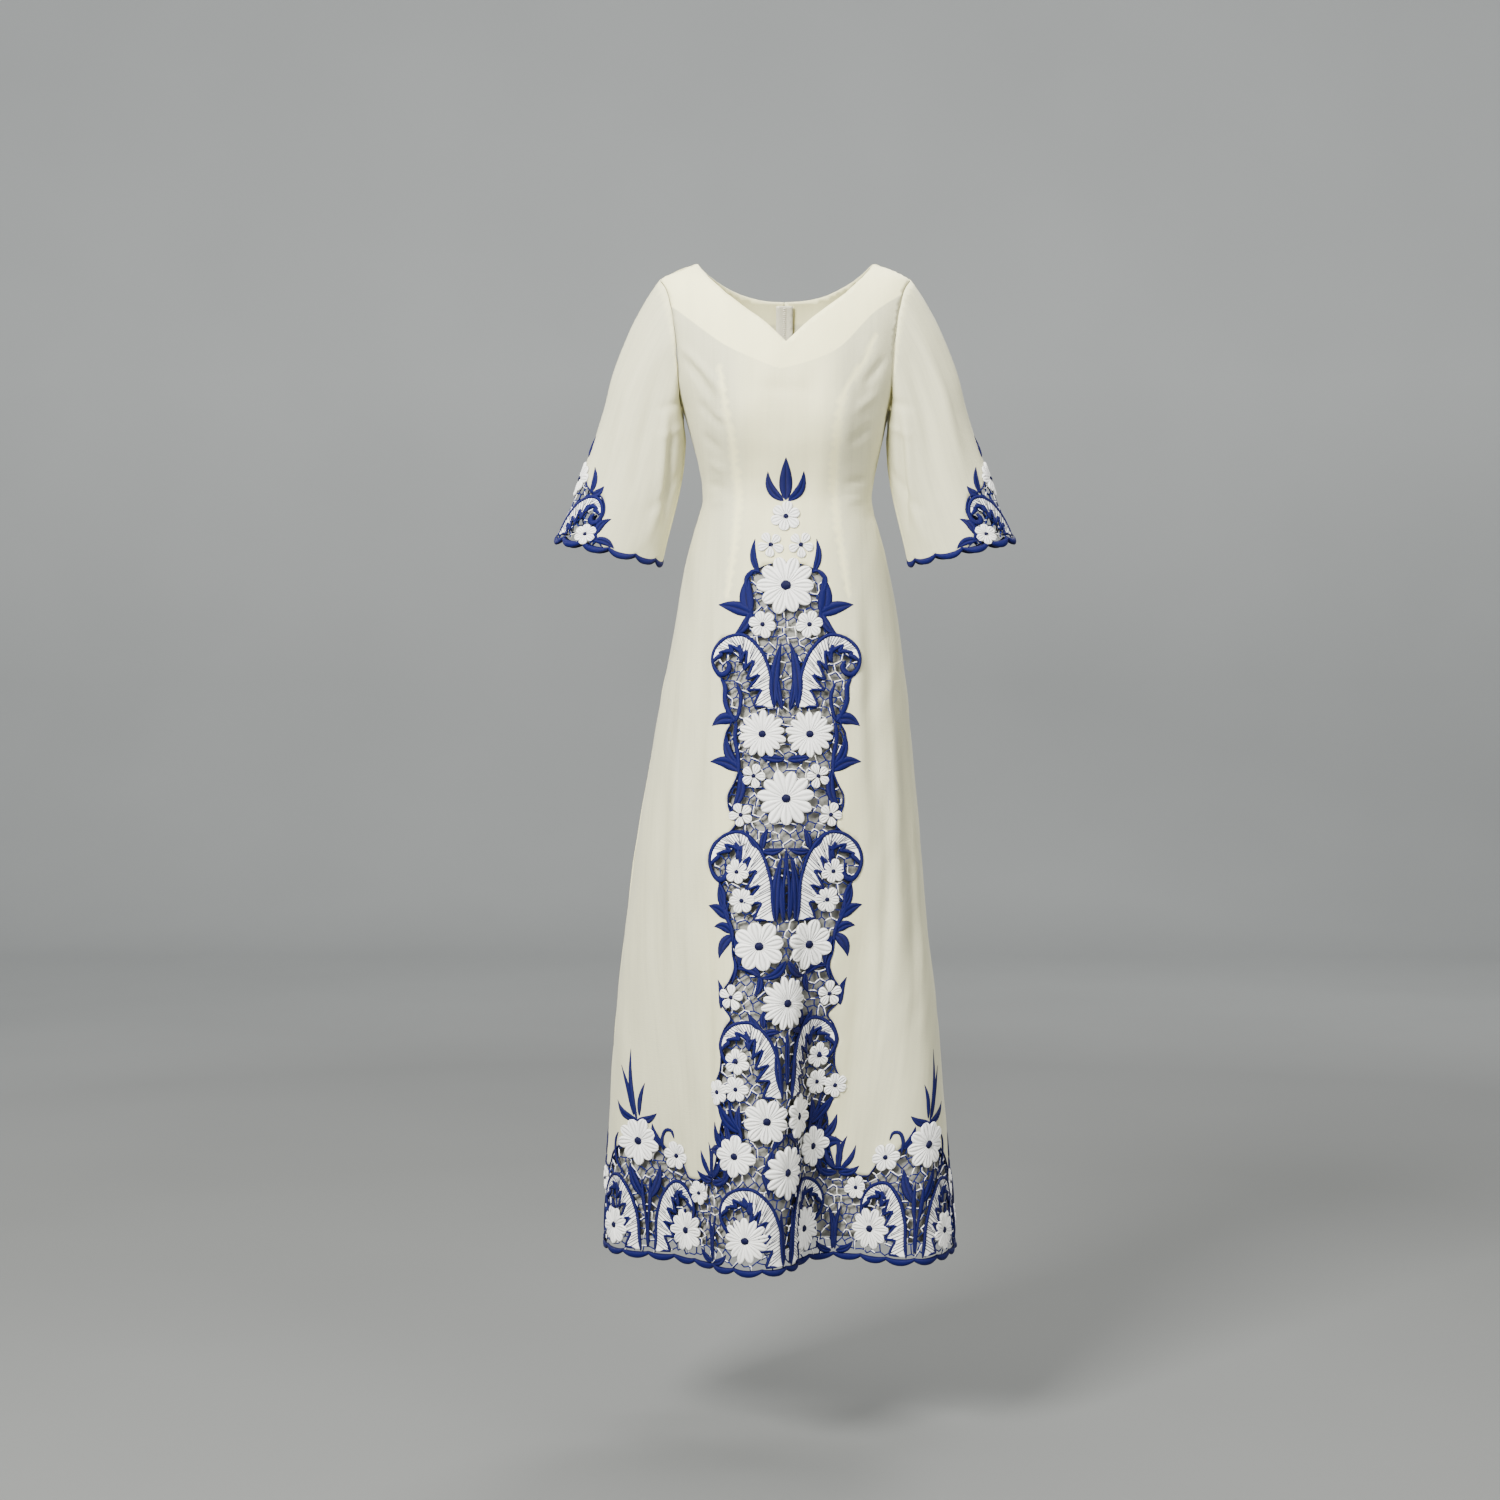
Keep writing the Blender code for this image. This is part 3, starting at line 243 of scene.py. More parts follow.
# Creases: from distance and drop, to distance and drop, half width, rise
FRONT_CREASES = (
    (-0.142, 0.128, -0.098, 0.190, 0.0051, -0.0057),
    (-0.128, 0.132, -0.082, 0.182, 0.0043, 0.0039),
    (-0.130, 0.190, -0.084, 0.226, 0.0051, -0.0048),
    (-0.150, 0.112, -0.112, 0.150, 0.0043, 0.0039),
    (-0.118, 0.200, -0.080, 0.216, 0.0034, 0.0034),
    (-0.128, 0.232, -0.088, 0.258, 0.0051, -0.0034),
    (-0.118, 0.268, -0.082, 0.284, 0.0043, 0.0030),
    (-0.118, 0.300, -0.080, 0.305, 0.0043, -0.0034),
    (-0.112, 0.326, -0.076, 0.322, 0.0034, 0.0029),
    (0.142, 0.128, 0.108, 0.170, 0.0051, -0.0043),
    (0.136, 0.176, 0.092, 0.206, 0.0051, 0.0034),
    (0.130, 0.222, 0.084, 0.246, 0.0051, -0.0039),
    (0.124, 0.292, 0.078, 0.300, 0.0043, -0.0034),
    (0.118, 0.318, 0.080, 0.322, 0.0034, 0.0029),
    (-0.050, 0.172, 0.046, 0.178, 0.0076, -0.0016),
    (-0.030, 0.200, 0.020, 0.330, 0.0085, 0.0011),
    (0.034, 0.220, 0.026, 0.420, 0.0076, -0.0015),
    (-0.040, 0.240, -0.048, 0.400, 0.0076, -0.0013),
    (-0.110, 0.420, -0.130, 0.900, 0.0102, -0.0040),
    (-0.145, 0.480, -0.168, 1.000, 0.0102, 0.0036),
    (-0.165, 0.600, -0.200, 1.150, 0.0119, -0.0044),
    (0.116, 0.430, 0.126, 0.860, 0.0102, -0.0036),
    (0.148, 0.500, 0.166, 1.020, 0.0110, 0.0040),
    (0.138, 0.700, 0.150, 1.160, 0.0076, -0.0036),
    (0.176, 0.620, 0.206, 1.120, 0.0102, -0.0036),
    (0.096, 0.440, 0.104, 0.700, 0.0068, 0.0024),
    (-0.112, 0.800, -0.124, 1.190, 0.0140, -0.0065),
    (0.112, 0.820, 0.126, 1.190, 0.0120, -0.0055),
    (0.122, 0.905, 0.142, 1.120, 0.0051, -0.0039),
)
BACK_CREASES = (
    (-0.020, 0.270, -0.070, 0.288, 0.0051, -0.0024),
    (0.022, 0.276, 0.072, 0.292, 0.0051, -0.0024),
    (-0.018, 0.306, -0.074, 0.312, 0.0043, 0.0021),
    (0.020, 0.310, 0.070, 0.316, 0.0043, 0.0021),
    (-0.016, 0.334, -0.068, 0.336, 0.0051, -0.0021),
    (0.018, 0.330, 0.072, 0.332, 0.0051, -0.0021),
    (-0.126, 0.150, -0.090, 0.216, 0.0059, -0.0029),
    (0.126, 0.148, 0.092, 0.214, 0.0059, -0.0029),
    (-0.090, 0.470, -0.110, 1.000, 0.0119, -0.0040),
    (-0.150, 0.560, -0.172, 1.120, 0.0119, 0.0036),
    (0.094, 0.480, 0.116, 1.020, 0.0119, -0.0040),
    (0.148, 0.560, 0.176, 1.120, 0.0119, 0.0036),
    (0.040, 0.600, 0.048, 1.150, 0.0110, 0.0032),
    (-0.042, 0.620, -0.050, 1.150, 0.0110, -0.0032),
)

# Sleeve creases: from place round and height, to place round and height, half width, rise
SLEEVE_CREASES = (
    (-0.142, 0.200, -0.168, 0.050, 0.0068, -0.0080),
    (-0.124, 0.225, -0.146, 0.080, 0.0068, 0.0057),
    (-0.166, 0.250, -0.104, 0.212, 0.0050, -0.0026),
    (-0.176, 0.216, -0.118, 0.176, 0.0046, 0.0024),
    (-0.182, 0.150, -0.132, 0.070, 0.0060, -0.0036),
    (-0.150, 0.120, -0.140, 0.020, 0.0080, 0.0030),
    (-0.090, 0.290, -0.104, 0.080, 0.0102, -0.0045),
    (-0.052, 0.330, -0.060, 0.100, 0.0102, 0.0040),
    (0.148, 0.190, 0.168, 0.060, 0.0076, -0.0054),
    (0.120, 0.230, 0.138, 0.090, 0.0076, 0.0051),
    (0.070, 0.300, 0.082, 0.080, 0.0102, -0.0047),
    (0.162, 0.230, 0.112, 0.192, 0.0059, -0.0057),
)

# Edge of the front openwork on the right half: distance from the centre line, drop
STRIP_EDGE = (
    (0.000, 0.408), (0.012, 0.406), (0.024, 0.408), (0.034, 0.412), (0.044, 0.419),
    (0.052, 0.430), (0.052, 0.446), (0.047, 0.460), (0.047, 0.476), (0.056, 0.494),
    (0.070, 0.503), (0.086, 0.508), (0.098, 0.522), (0.101, 0.538), (0.094, 0.554),
    (0.085, 0.564), (0.083, 0.590), (0.073, 0.612), (0.074, 0.622), (0.080, 0.634),
    (0.079, 0.650), (0.068, 0.668), (0.063, 0.682), (0.069, 0.700), (0.077, 0.716),
    (0.076, 0.734), (0.067, 0.754), (0.080, 0.769), (0.097, 0.780), (0.105, 0.800),
    (0.102, 0.820), (0.091, 0.834), (0.087, 0.850), (0.083, 0.872), (0.074, 0.900),
    (0.073, 0.926), (0.070, 0.944), (0.077, 0.962), (0.088, 0.978), (0.088, 0.996),
    (0.076, 1.012), (0.086, 1.026), (0.095, 1.046), (0.093, 1.064), (0.096, 1.084),
    (0.106, 1.104), (0.104, 1.122), (0.092, 1.140), (0.096, 1.158), (0.099, 1.178),
    (0.104, 1.200),
)

# Upper edge of the border openwork over half a repeat: share of the half repeat, drop
BORDER_EDGE = (
    (0.00, 1.178), (0.18, 1.179), (0.27, 1.194), (0.40, 1.204), (0.50, 1.213),
    (0.62, 1.233), (0.74, 1.234), (0.86, 1.226), (1.00, 1.224),
)

# Plume spine from its foot over the top to the curl: share of the reach across, share of the height
PLUME_SHAPE = (
    (0.00, 0.00), (0.03, 0.20), (0.05, 0.45), (0.15, 0.71), (0.27, 0.86),
    (0.40, 0.96), (0.52, 1.00), (0.68, 0.985), (0.83, 0.92), (0.95, 0.81),
    (1.00, 0.67), (0.96, 0.54), (0.86, 0.46), (0.755, 0.49), (0.715, 0.575),
    (0.765, 0.645),
)

# Plumes of the strip: foot distance and drop, top drop, outer distance, band width, teeth
STRIP_PLUMES = (
    (0.016, 0.600, 0.502, 0.100, 0.034, 8),
    (0.016, 0.884, 0.765, 0.104, 0.037, 9),
    (0.009, 1.118, 1.016, 0.093, 0.033, 8),
    (0.009, 1.340, 1.234, 0.100, 0.034, 9),
)
BORDER_PLUMES = ((0.011, 1.340, 1.240, 0.079, 0.029, 8),)

# Flowers of the strip: distance each side of the centre line, drop, radius, petals
STRIP_FLOWERS = (
    (0.0000, 0.344, 0.0200, 6),
    (0.0200, 0.382, 0.0170, 5),
    (0.0000, 0.436, 0.0380, 10),
    (0.0310, 0.488, 0.0180, 6),
    (0.0315, 0.634, 0.0310, 14),
    (0.0430, 0.690, 0.0160, 5),
    (0.0000, 0.720, 0.0370, 11),
    (0.0600, 0.742, 0.0160, 5),
    (0.0655, 0.818, 0.0160, 6),
    (0.0590, 0.856, 0.0170, 6),
    (0.0370, 0.916, 0.0330, 8),
    (0.0000, 0.992, 0.0345, 16),
    (0.0750, 0.984, 0.0170, 5),
    (0.0690, 1.068, 0.0170, 6),
    (0.0710, 1.104, 0.0170, 6),
    (0.1000, 1.110, 0.0165, 6),
    (0.0310, 1.146, 0.0300, 9),
    (0.0740, 1.192, 0.0270, 8),
    (0.0000, 1.216, 0.0350, 12),
    (0.0610, 1.302, 0.0300, 13),
)

# Flowers of a border repeat: distance outward from its middle, drop, radius, petals
BORDER_FLOWERS = (
    (0.0080, 1.190, 0.0310, 9),
    (-0.0500, 1.205, 0.0190, 6),
    (-0.0900, 1.250, 0.0160, 6),
    (0.0890, 1.252, 0.0160, 6),
    (-0.0640, 1.304, 0.0275, 10),
    (0.0560, 1.310, 0.0250, 9),
)

# Flowers of a sleeve: distance from the outer line, height, radius, petals
SLEEVE_FLOWERS = (
    (-0.0070, 0.094, 0.0235, 8),
    (-0.0660, 0.022, 0.0140, 6),
    (0.0660, 0.022, 0.0140, 6),
)

# Outer curve of a sleeve's plume, from its foot over the top to the curl: distance and height
SLEEVE_PLUME = (
    (0.016, 0.012), (0.017, 0.034), (0.026, 0.052), (0.038, 0.065), (0.051, 0.072),
    (0.064, 0.071), (0.073, 0.062), (0.076, 0.050), (0.073, 0.041), (0.066, 0.039),
    (0.063, 0.045), (0.066, 0.051),
)

# Upper edge of a sleeve's openwork: distance from the outer line, height
SLEEVE_EDGE = (
    (0.000, 0.1040), (0.020, 0.1000), (0.036, 0.0840), (0.052, 0.0780), (0.068, 0.0740),
    (0.078, 0.0580), (0.077, 0.0360), (0.082, 0.0200), (0.094, 0.0095),
)

# Leaves of the strip, each side: base distance and drop, tip distance and drop, half width, bow
STRIP_LEAVES = (
    (0.000, 0.322, 0.000, 0.264, 0.0088, 0.000),
    (0.003, 0.323, 0.024, 0.283, 0.0062, 0.007),
    (0.036, 0.420, 0.041, 0.374, 0.0046, 0.005),
    (0.048, 0.476, 0.050, 0.424, 0.0098, 0.004),
    (0.044, 0.475, 0.092, 0.462, 0.0090, -0.003),
    (0.045, 0.470, 0.072, 0.506, 0.0060, 0.004),
    (0.016, 0.600, 0.006, 0.512, 0.0072, 0.004),
    (0.005, 0.602, 0.012, 0.548, 0.0042, 0.002),
    (0.066, 0.616, 0.100, 0.624, 0.0082, -0.006),
    (0.002, 0.668, 0.034, 0.664, 0.0052, 0.001),
    (0.061, 0.684, 0.102, 0.672, 0.0084, -0.006),
    (0.061, 0.684, 0.076, 0.740, 0.0060, 0.008),
    (0.062, 0.680, 0.080, 0.632, 0.0060, 0.007),
    (0.034, 0.788, 0.053, 0.764, 0.0042, 0.002),
    (0.032, 0.788, 0.024, 0.760, 0.0046, 0.002),
    (0.032, 0.790, 0.002, 0.786, 0.0048, -0.003),
    (0.014, 0.884, 0.006, 0.796, 0.0062, 0.004),
    (0.004, 0.884, 0.007, 0.826, 0.0036, 0.001),
    (0.078, 0.882, 0.108, 0.864, 0.0076, -0.004),
    (0.080, 0.872, 0.092, 0.836, 0.0052, 0.003),
    (0.074, 0.900, 0.100, 0.892, 0.0064, -0.005),
    (0.072, 0.902, 0.094, 0.934, 0.0070, -0.005),
    (0.070, 0.906, 0.064, 0.944, 0.0056, 0.003),
    (0.036, 0.956, 0.068, 0.946, 0.0058, -0.006),
    (0.036, 0.956, 0.044, 0.982, 0.0046, 0.003),
    (0.002, 0.936, 0.036, 0.958, 0.0058, 0.007),
    (0.092, 1.000, 0.096, 0.962, 0.0048, -0.004),
    (0.032, 1.032, 0.010, 1.030, 0.0046, 0.002),
    (0.036, 1.026, 0.052, 1.004, 0.0044, 0.002),
    (0.032, 1.024, 0.030, 0.998, 0.0044, 0.002),
    (0.008, 1.116, 0.016, 1.040, 0.0052, 0.003),
    (0.066, 1.160, 0.101, 1.122, 0.0072, 0.005),
    (0.066, 1.160, 0.066, 1.124, 0.0048, 0.003),
    (0.066, 1.164, 0.094, 1.170, 0.0060, 0.003),
    (0.086, 1.186, 0.094, 1.142, 0.0042, -0.006),
    (0.084, 1.196, 0.120, 1.188, 0.0088, -0.004),
    (0.086, 1.186, 0.108, 1.150, 0.0060, 0.006),
    (0.084, 1.196, 0.100, 1.236, 0.0058, 0.005),
    (0.002, 1.166, 0.024, 1.186, 0.0046, -0.004),
    (0.024, 1.184, 0.040, 1.214, 0.0048, 0.004),
    (0.038, 1.214, 0.030, 1.246, 0.0044, 0.003),
    (0.006, 1.338, 0.012, 1.264, 0.0048, 0.002),
)

# Leaves of a border repeat, each side: base offset and drop, tip offset and drop, half width, bow
BORDER_LEAVES = (
    (0.006, 1.266, 0.024, 1.220, 0.0064, 0.003),
    (0.003, 1.290, 0.006, 1.238, 0.0028, 0.001),
)
BORDER_STEMS = (
    (0.0020, (0.001, 1.334), (0.001, 1.310), (0.003, 1.285), (0.007, 1.262)),
)

# The sprig over a border repeat's top flower: the same columns, outward from the middle
SPRIG_LEAVES = (
    (0.008, 1.164, 0.010, 1.066, 0.0034, 0.004),
    (0.013, 1.156, 0.030, 1.090, 0.0034, -0.004),
    (0.004, 1.156, -0.010, 1.110, 0.0032, 0.003),
    (0.008, 1.162, 0.045, 1.139, 0.0052, 0.005),
    (0.008, 1.162, -0.025, 1.150, 0.0052, -0.004),
    (-0.028, 1.194, -0.016, 1.164, 0.0046, 0.003),
)
SPRIG_STEMS = (
    (0.0024, (-0.030, 1.200), (-0.030, 1.184), (-0.036, 1.172), (-0.045, 1.172), (-0.048, 1.182)),
    (0.0022, (0.034, 1.236), (0.046, 1.222), (0.050, 1.206), (0.048, 1.192), (0.042, 1.182)),
)

# Motifs beside the centre back seam, on each half: flowers, then leaves, with the border's columns
SEAM_FLOWERS = (
    (0.0240, 1.204, 0.0200, 7),
    (0.0200, 1.246, 0.0150, 6),
)
SEAM_LEAVES = (
    (0.012, 1.184, 0.007, 1.122, 0.0040, 0.003),
    (0.014, 1.184, 0.036, 1.158, 0.0046, 0.004),
    (0.006, 1.300, 0.008, 1.262, 0.0042, -0.002),
    (0.006, 1.334, 0.006, 1.296, 0.0030, 0.002),
)

# Leaves where two border repeats meet, each side of the line
MEETING_LEAVES = (
    (0.002, 1.228, 0.008, 1.180, 0.0044, -0.005),
    (0.001, 1.230, 0.030, 1.220, 0.0052, 0.005),
    (0.003, 1.226, 0.022, 1.192, 0.0040, 0.004),
    (0.002, 1.336, 0.009, 1.276, 0.0044, -0.005),
    (0.003, 1.338, 0.027, 1.324, 0.0046, 0.004),
)

# Leaves of a sleeve, each side: base place and height, tip place and height, half width, bow
SLEEVE_LEAVES = (
    (0.010, 0.126, 0.007, 0.158, 0.0040, 0.002),
    (0.047, 0.076, 0.036, 0.112, 0.0046, -0.004),
    (0.050, 0.074, 0.064, 0.090, 0.0056, -0.003),
    (0.079, 0.024, 0.090, 0.050, 0.0050, 0.005),
    (0.079, 0.017, 0.106, 0.012, 0.0052, 0.004),
)
SLEEVE_STEMS = (
    (0.0026, (0.074, 0.044), (0.077, 0.032), (0.078, 0.020), (0.077, 0.010)),
)

# Thick stems of the strip, each side: half width, then places as distance and drop
STRIP_STEMS = (
    (0.0026, (0.034, 0.418), (0.044, 0.417), (0.053, 0.426), (0.052, 0.440), (0.045, 0.450)),
    (0.0036, (0.088, 0.560), (0.082, 0.572), (0.082, 0.590), (0.076, 0.606), (0.067, 0.618)),
    (0.0028, (0.066, 0.566), (0.060, 0.584), (0.062, 0.602), (0.067, 0.618)),
    (0.0030, (0.066, 0.618), (0.068, 0.640), (0.064, 0.664), (0.063, 0.690)),
    (0.0030, (0.092, 0.832), (0.084, 0.850), (0.084, 0.872), (0.075, 0.892), (0.072, 0.912)),
    (0.0024, (0.070, 0.930), (0.068, 0.948), (0.074, 0.966)),
    (0.0026, (0.082, 1.120), (0.078, 1.140), (0.066, 1.158), (0.064, 1.176)),
    (0.0024, (0.096, 1.160), (0.088, 1.176), (0.086, 1.196), (0.092, 1.216)),
    (0.0022, (0.000, 0.786), (0.001, 0.810), (0.004, 0.840), (0.003, 0.880)),
    (0.0020, (0.000, 1.030), (0.002, 1.060), (0.001, 1.100)),
)


def smooth_curve(at, xs, ys):
    """Smooth interpolation that keeps to the rise and fall of its rows."""
    xs = np.asarray(xs, float)
    ys = np.asarray(ys, float)
    step = np.diff(xs)
    slope = np.diff(ys) / step
    tangent = np.zeros(len(xs))
    same = slope[:-1] * slope[1:] > 0
    first = 2 * step[1:] + step[:-1]
    second = step[1:] + 2 * step[:-1]
    with np.errstate(divide="ignore", invalid="ignore"):
        mean = (first + second) / (first / slope[:-1] + second / slope[1:])
    tangent[1:-1] = np.where(same, mean, 0.0)
    tangent[0] = slope[0]
    tangent[-1] = slope[-1]
    at = np.clip(np.asarray(at, float), xs[0], xs[-1])
    i = np.clip(np.searchsorted(xs, at, side="right") - 1, 0, len(step) - 1)
    h = step[i]
    t = (at - xs[i]) / h
    low = (1 + 2 * t) * (1 - t) ** 2 * ys[i] + t * (1 - t) ** 2 * h * tangent[i]
    high = t * t * (3 - 2 * t) * ys[i + 1] + t * t * (t - 1) * h * tangent[i + 1]
    return low + high


def table_curve(at, table, column=1):
    """The smooth curve through one column of a table, by its first column."""
    rows = np.array(table)
    return smooth_curve(at, rows[:, 0], rows[:, column])


def lengths_along(points):
    """Distance run along a line at each of its points."""
    steps = np.linalg.norm(np.diff(points, axis=0), axis=1)
    return np.concatenate(([0.0], np.cumsum(steps)))


def ease(value):
    """A soft step from 0 to 1."""
    value = np.clip(value, 0.0, 1.0)
    return value * value * (3 - 2 * value)


# The body's rings

SHOULDER_RINGS_END = 0.1601
RING_STEP = 0.004
RING_SAMPLES = 641
ROUND_SAMPLES = 721
RINGS = np.array(RING_ROWS)
OVER = np.where(
    RINGS[1:, 0] <= SHOULDER_RINGS_END,
    np.hypot(np.diff(RINGS[:, 0]), 0.85 * np.diff(RINGS[:, 3])),
    np.diff(RINGS[:, 0]),
)
ROW_V = np.concatenate(([0.0], np.cumsum(OVER)))
V_COUNT = int(ROW_V[-1] / RING_STEP) + 1
V_GRID = np.arange(V_COUNT) * RING_STEP
DROP_GRID = smooth_curve(V_GRID, ROW_V, RINGS[:, 0])


def v_of(drop):
    """Distance v down the cloth from the neck points to a drop."""
    return np.interp(drop, DROP_GRID, V_GRID)


def drop_of(v):
    return np.interp(v, V_GRID, DROP_GRID)


def fold_reach(table, x, drop):
    """How far a table's folds reach out at places across."""
    rows = np.array(table)
    grown = rows[:, 1] * ease((drop - rows[:, 2]) / (rows[:, 3] - rows[:, 2]))
    return smooth_curve(x, rows[:, 0], grown)


def ring(v, drop):
    """The closed section of the dress at a level, as places across and in depth."""
    left, right, front, back = [smooth_curve(v, ROW_V, RINGS[:, k]) for k in (1, 2, 3, 4)]
    turn = np.radians(np.linspace(-180.0, 180.0, ROUND_SAMPLES))
    side = np.abs(np.sin(turn)) ** (2 / SQUARENESS) * np.sign(np.sin(turn))
    share = np.abs(np.cos(turn)) ** (2 / SQUARENESS)
    x = (right - left) / 2 + side * (right + left) / 2
    hold = ease(share / 0.30)
    ahead = front * share + hold * fold_reach(FRONT_FOLDS, x, drop)
    for centre in (-BUST_ACROSS, BUST_ACROSS):
        off = ((x - centre) ** 2 + (drop - BUST_DROP) ** 2) / BUST_SPREAD ** 2
        ahead += hold * BUST_REACH * np.exp(-off)
    behind = back * share + hold * fold_reach(BACK_FOLDS, x, drop)
    return x, np.where(np.cos(turn) > 0, -ahead, behind)


def ring_tables():
    """Every level's places across and in depth at even steps round, its half round, and its front's half."""
    share = np.linspace(-1.0, 1.0, RING_SAMPLES)
    across = np.zeros((V_COUNT, RING_SAMPLES))
    depth = np.zeros((V_COUNT, RING_SAMPLES))
    half = np.zeros(V_COUNT)
    side = np.zeros(V_COUNT)
    quarter = (ROUND_SAMPLES - 1) // 4
    for row, (v, drop) in enumerate(zip(V_GRID, DROP_GRID)):
        x, y = ring(v, drop)
        run = np.concatenate(([0.0], np.cumsum(np.hypot(np.diff(x), np.diff(y)))))
        whole = run[-1]
        front = slice(quarter, 3 * quarter + 1)
        run = run - np.interp(0.0, x[front], run[front])
        half[row] = whole / 2
        side[row] = (run[3 * quarter] - run[quarter]) / 2
        at = (share * whole / 2 - run[0]) % whole + run[0]
        across[row] = np.interp(at, run, x)
        depth[row] = np.interp(at, run, y)
    return across, depth, half, side


ACROSS, DEPTH, HALF, SIDE = ring_tables()


def half_round(v):
    return np.interp(v, V_GRID, HALF)


def side_round(v):
    return np.interp(v, V_GRID, SIDE)


def side_reach(v, back):
    """Distance of the side seam from the centre line."""
    return half_round(v) - side_round(v) if back else side_round(v)


def body_point(u, v):
    """Places in space by the distance round from the centre front and v. The viewer's right is positive."""
    u = np.atleast_1d(np.asarray(u, float))
    v = np.atleast_1d(np.asarray(v, float))
    row = np.clip(v / RING_STEP, 0.0, V_COUNT - 1.001)
    low = row.astype(int)
    part = row - low
    column = (u / half_round(v) + 1) / 2 * (RING_SAMPLES - 1) % (RING_SAMPLES - 1)
    near = column.astype(int)
    lean = column - near

    def pick(grid):
        top = grid[low, near] * (1 - lean) + grid[low, near + 1] * lean
        bottom = grid[low + 1, near] * (1 - lean) + grid[low + 1, near + 1] * lean
        return top * (1 - part) + bottom * part

    return np.stack([pick(ACROSS), pick(DEPTH), -drop_of(v)], axis=1)


def back_point(w, v):
    """The same cloth by its distance from the centre back, positive to the wearer's right."""
    w = np.asarray(w, float)
    return body_point(np.where(w < 0, 1.0, -1.0) * (half_round(v) - np.abs(w)), v)


def lifted(surface, a, b, lift):
    """Places of a surface moved out square to it by lift."""
    step = 0.0015
    across = surface(a + step, b) - surface(a - step, b)
    down = surface(a, b + step) - surface(a, np.maximum(b - step, 0.0))
    normal = np.cross(down, across)
    normal /= np.linalg.norm(normal, axis=1)[:, None]
    return surface(a, b) + normal * np.asarray(lift, float).reshape(-1, 1)


def creases(table, a, b):
    """Total rise of soft troughs and ridges at flat places."""
    total = np.zeros(len(a))
    for a0, b0, a1, b1, half, rise in table:
        way = np.array([a1 - a0, b1 - b0])
        part = ((a - a0) * way[0] + (b - b0) * way[1]) / (way @ way)
        near = np.clip(part, 0.0, 1.0)
        away = np.hypot(a - a0 - near * way[0], b - b0 - near * way[1])
        total += rise * np.exp(-(away / half) ** 2) * np.sin(math.pi * near) ** 0.8
    return total


HEM_V = float(v_of(HEM_DROP))
TIP_V = float(v_of(SHOULDER_DROP))
UNDERARM_V = float(v_of(UNDERARM_DROP))
PITCH = float(half_round(HEM_V)) / HEM_SCALLOPS_EACH_SIDE
REPEAT = 6 * PITCH


def rumple(a, b):
    """The slight unevenness of worn cloth."""
    first = 0.00045 * np.sin(92 * a + 13 * b + 2.0 * np.sin(21 * b))
    second = 0.00040 * np.sin(57 * a - 38 * b + 1.4 * np.sin(43 * a))
    third = 0.00026 * np.sin(149 * a + 31 * b + 1.8 * np.sin(29 * b + 2.0))
    return first + second + third


def seam_dip(away):
    """The cloth turns in a little at a seam."""
    return -0.0007 * np.exp(-(away / 0.0035) ** 2)


def dress_place(back):
    """Gives the function that places (distance, v) points on the front or the back, moved out by lift."""
    surface, table, darts = body_point, FRONT_CREASES, (LEFT_DART, RIGHT_DART)
    if back:
        surface, table, darts = back_point, BACK_CREASES, BACK_DARTS

    def place(flat, lift):
        a, v = flat[:, 0], flat[:, 1]
        drop = drop_of(v)
        extra = creases(table, a, drop) + rumple(a, drop)
        for dart in darts:
            extra += seam_dip(far_from_line(np.stack([a, drop], axis=1), dart))
        seams = [side_reach(v, back) - np.abs(a)]
        if back:
            seams.append(np.abs(a))
        extra += sum(seam_dip(away) for away in seams)
        return lifted(surface, a, v, lift + extra)

    return place


front_place = dress_place(False)
back_place = dress_place(True)


# The sleeves


def armhole_curve(sign, back):
    """The armhole in space from the shoulder to the underarm, and the share of its length at each point."""
    turn = np.linspace(0.0, math.pi, 90)
    drop = SHOULDER_DROP + (UNDERARM_DROP - SHOULDER_DROP) * (1 - np.cos(turn)) / 2
    v = v_of(drop)
    inward = table_curve(drop, ARMHOLE_ROWS, 2 if back else 1)
    side = side_round(v)
    u = side + inward if back else side - inward
    points = lifted(body_point, sign * u, v, np.full(len(v), WALL / 2))
    run = lengths_along(points)
    return points, run / run[-1]


ARMHOLES = {(sign, back): armhole_curve(sign, back) for sign in (-1, 1) for back in (False, True)}


def sleeve_length(part):
    """Length down the sleeve, by the share of the way from its outer line to its inner one."""
    return SLEEVE_OUTER + (SLEEVE_INNER - SLEEVE_OUTER) * part


def sleeve_half(sign, back, a, h):
    """Places on a sleeve's front or back half: a from the outer line and h above the cuff."""
    part = np.clip(a / SLEEVE_ROUND, -0.05, 1.05)
    way = 1 - h / sleeve_length(part)
    points, share = ARMHOLES[(sign, back)]
    near = np.clip(part, 0.0, 1.0)
    top = np.stack([np.interp(near, share, points[:, axis]) for axis in range(3)], axis=1)
    under = np.sin(math.pi / 2 * near) ** 4
    top[:, 0] += sign * (0.0010 + 0.0016 * under)
    angle = math.pi * part
    facing = 1.0 if back else -1.0
    cuff = np.stack([
        sign * (CUFF_CENTRE[0] + CUFF_ACROSS[0] * np.cos(angle)),
        CUFF_CENTRE[1] + facing * CUFF_DEPTH * np.sin(angle),
        CUFF_CENTRE[2] + CUFF_ACROSS[2] * np.cos(angle),
    ], axis=1)
    out = table_curve(way, SLEEVE_ROWS, 1) * np.cos(math.pi / 2 * near) ** 2
    into = table_curve(way, SLEEVE_ROWS, 2) * under
    place = top * (1 - way)[:, None] + cuff * way[:, None]
    place[:, 0] += sign * (out - into)
    return place


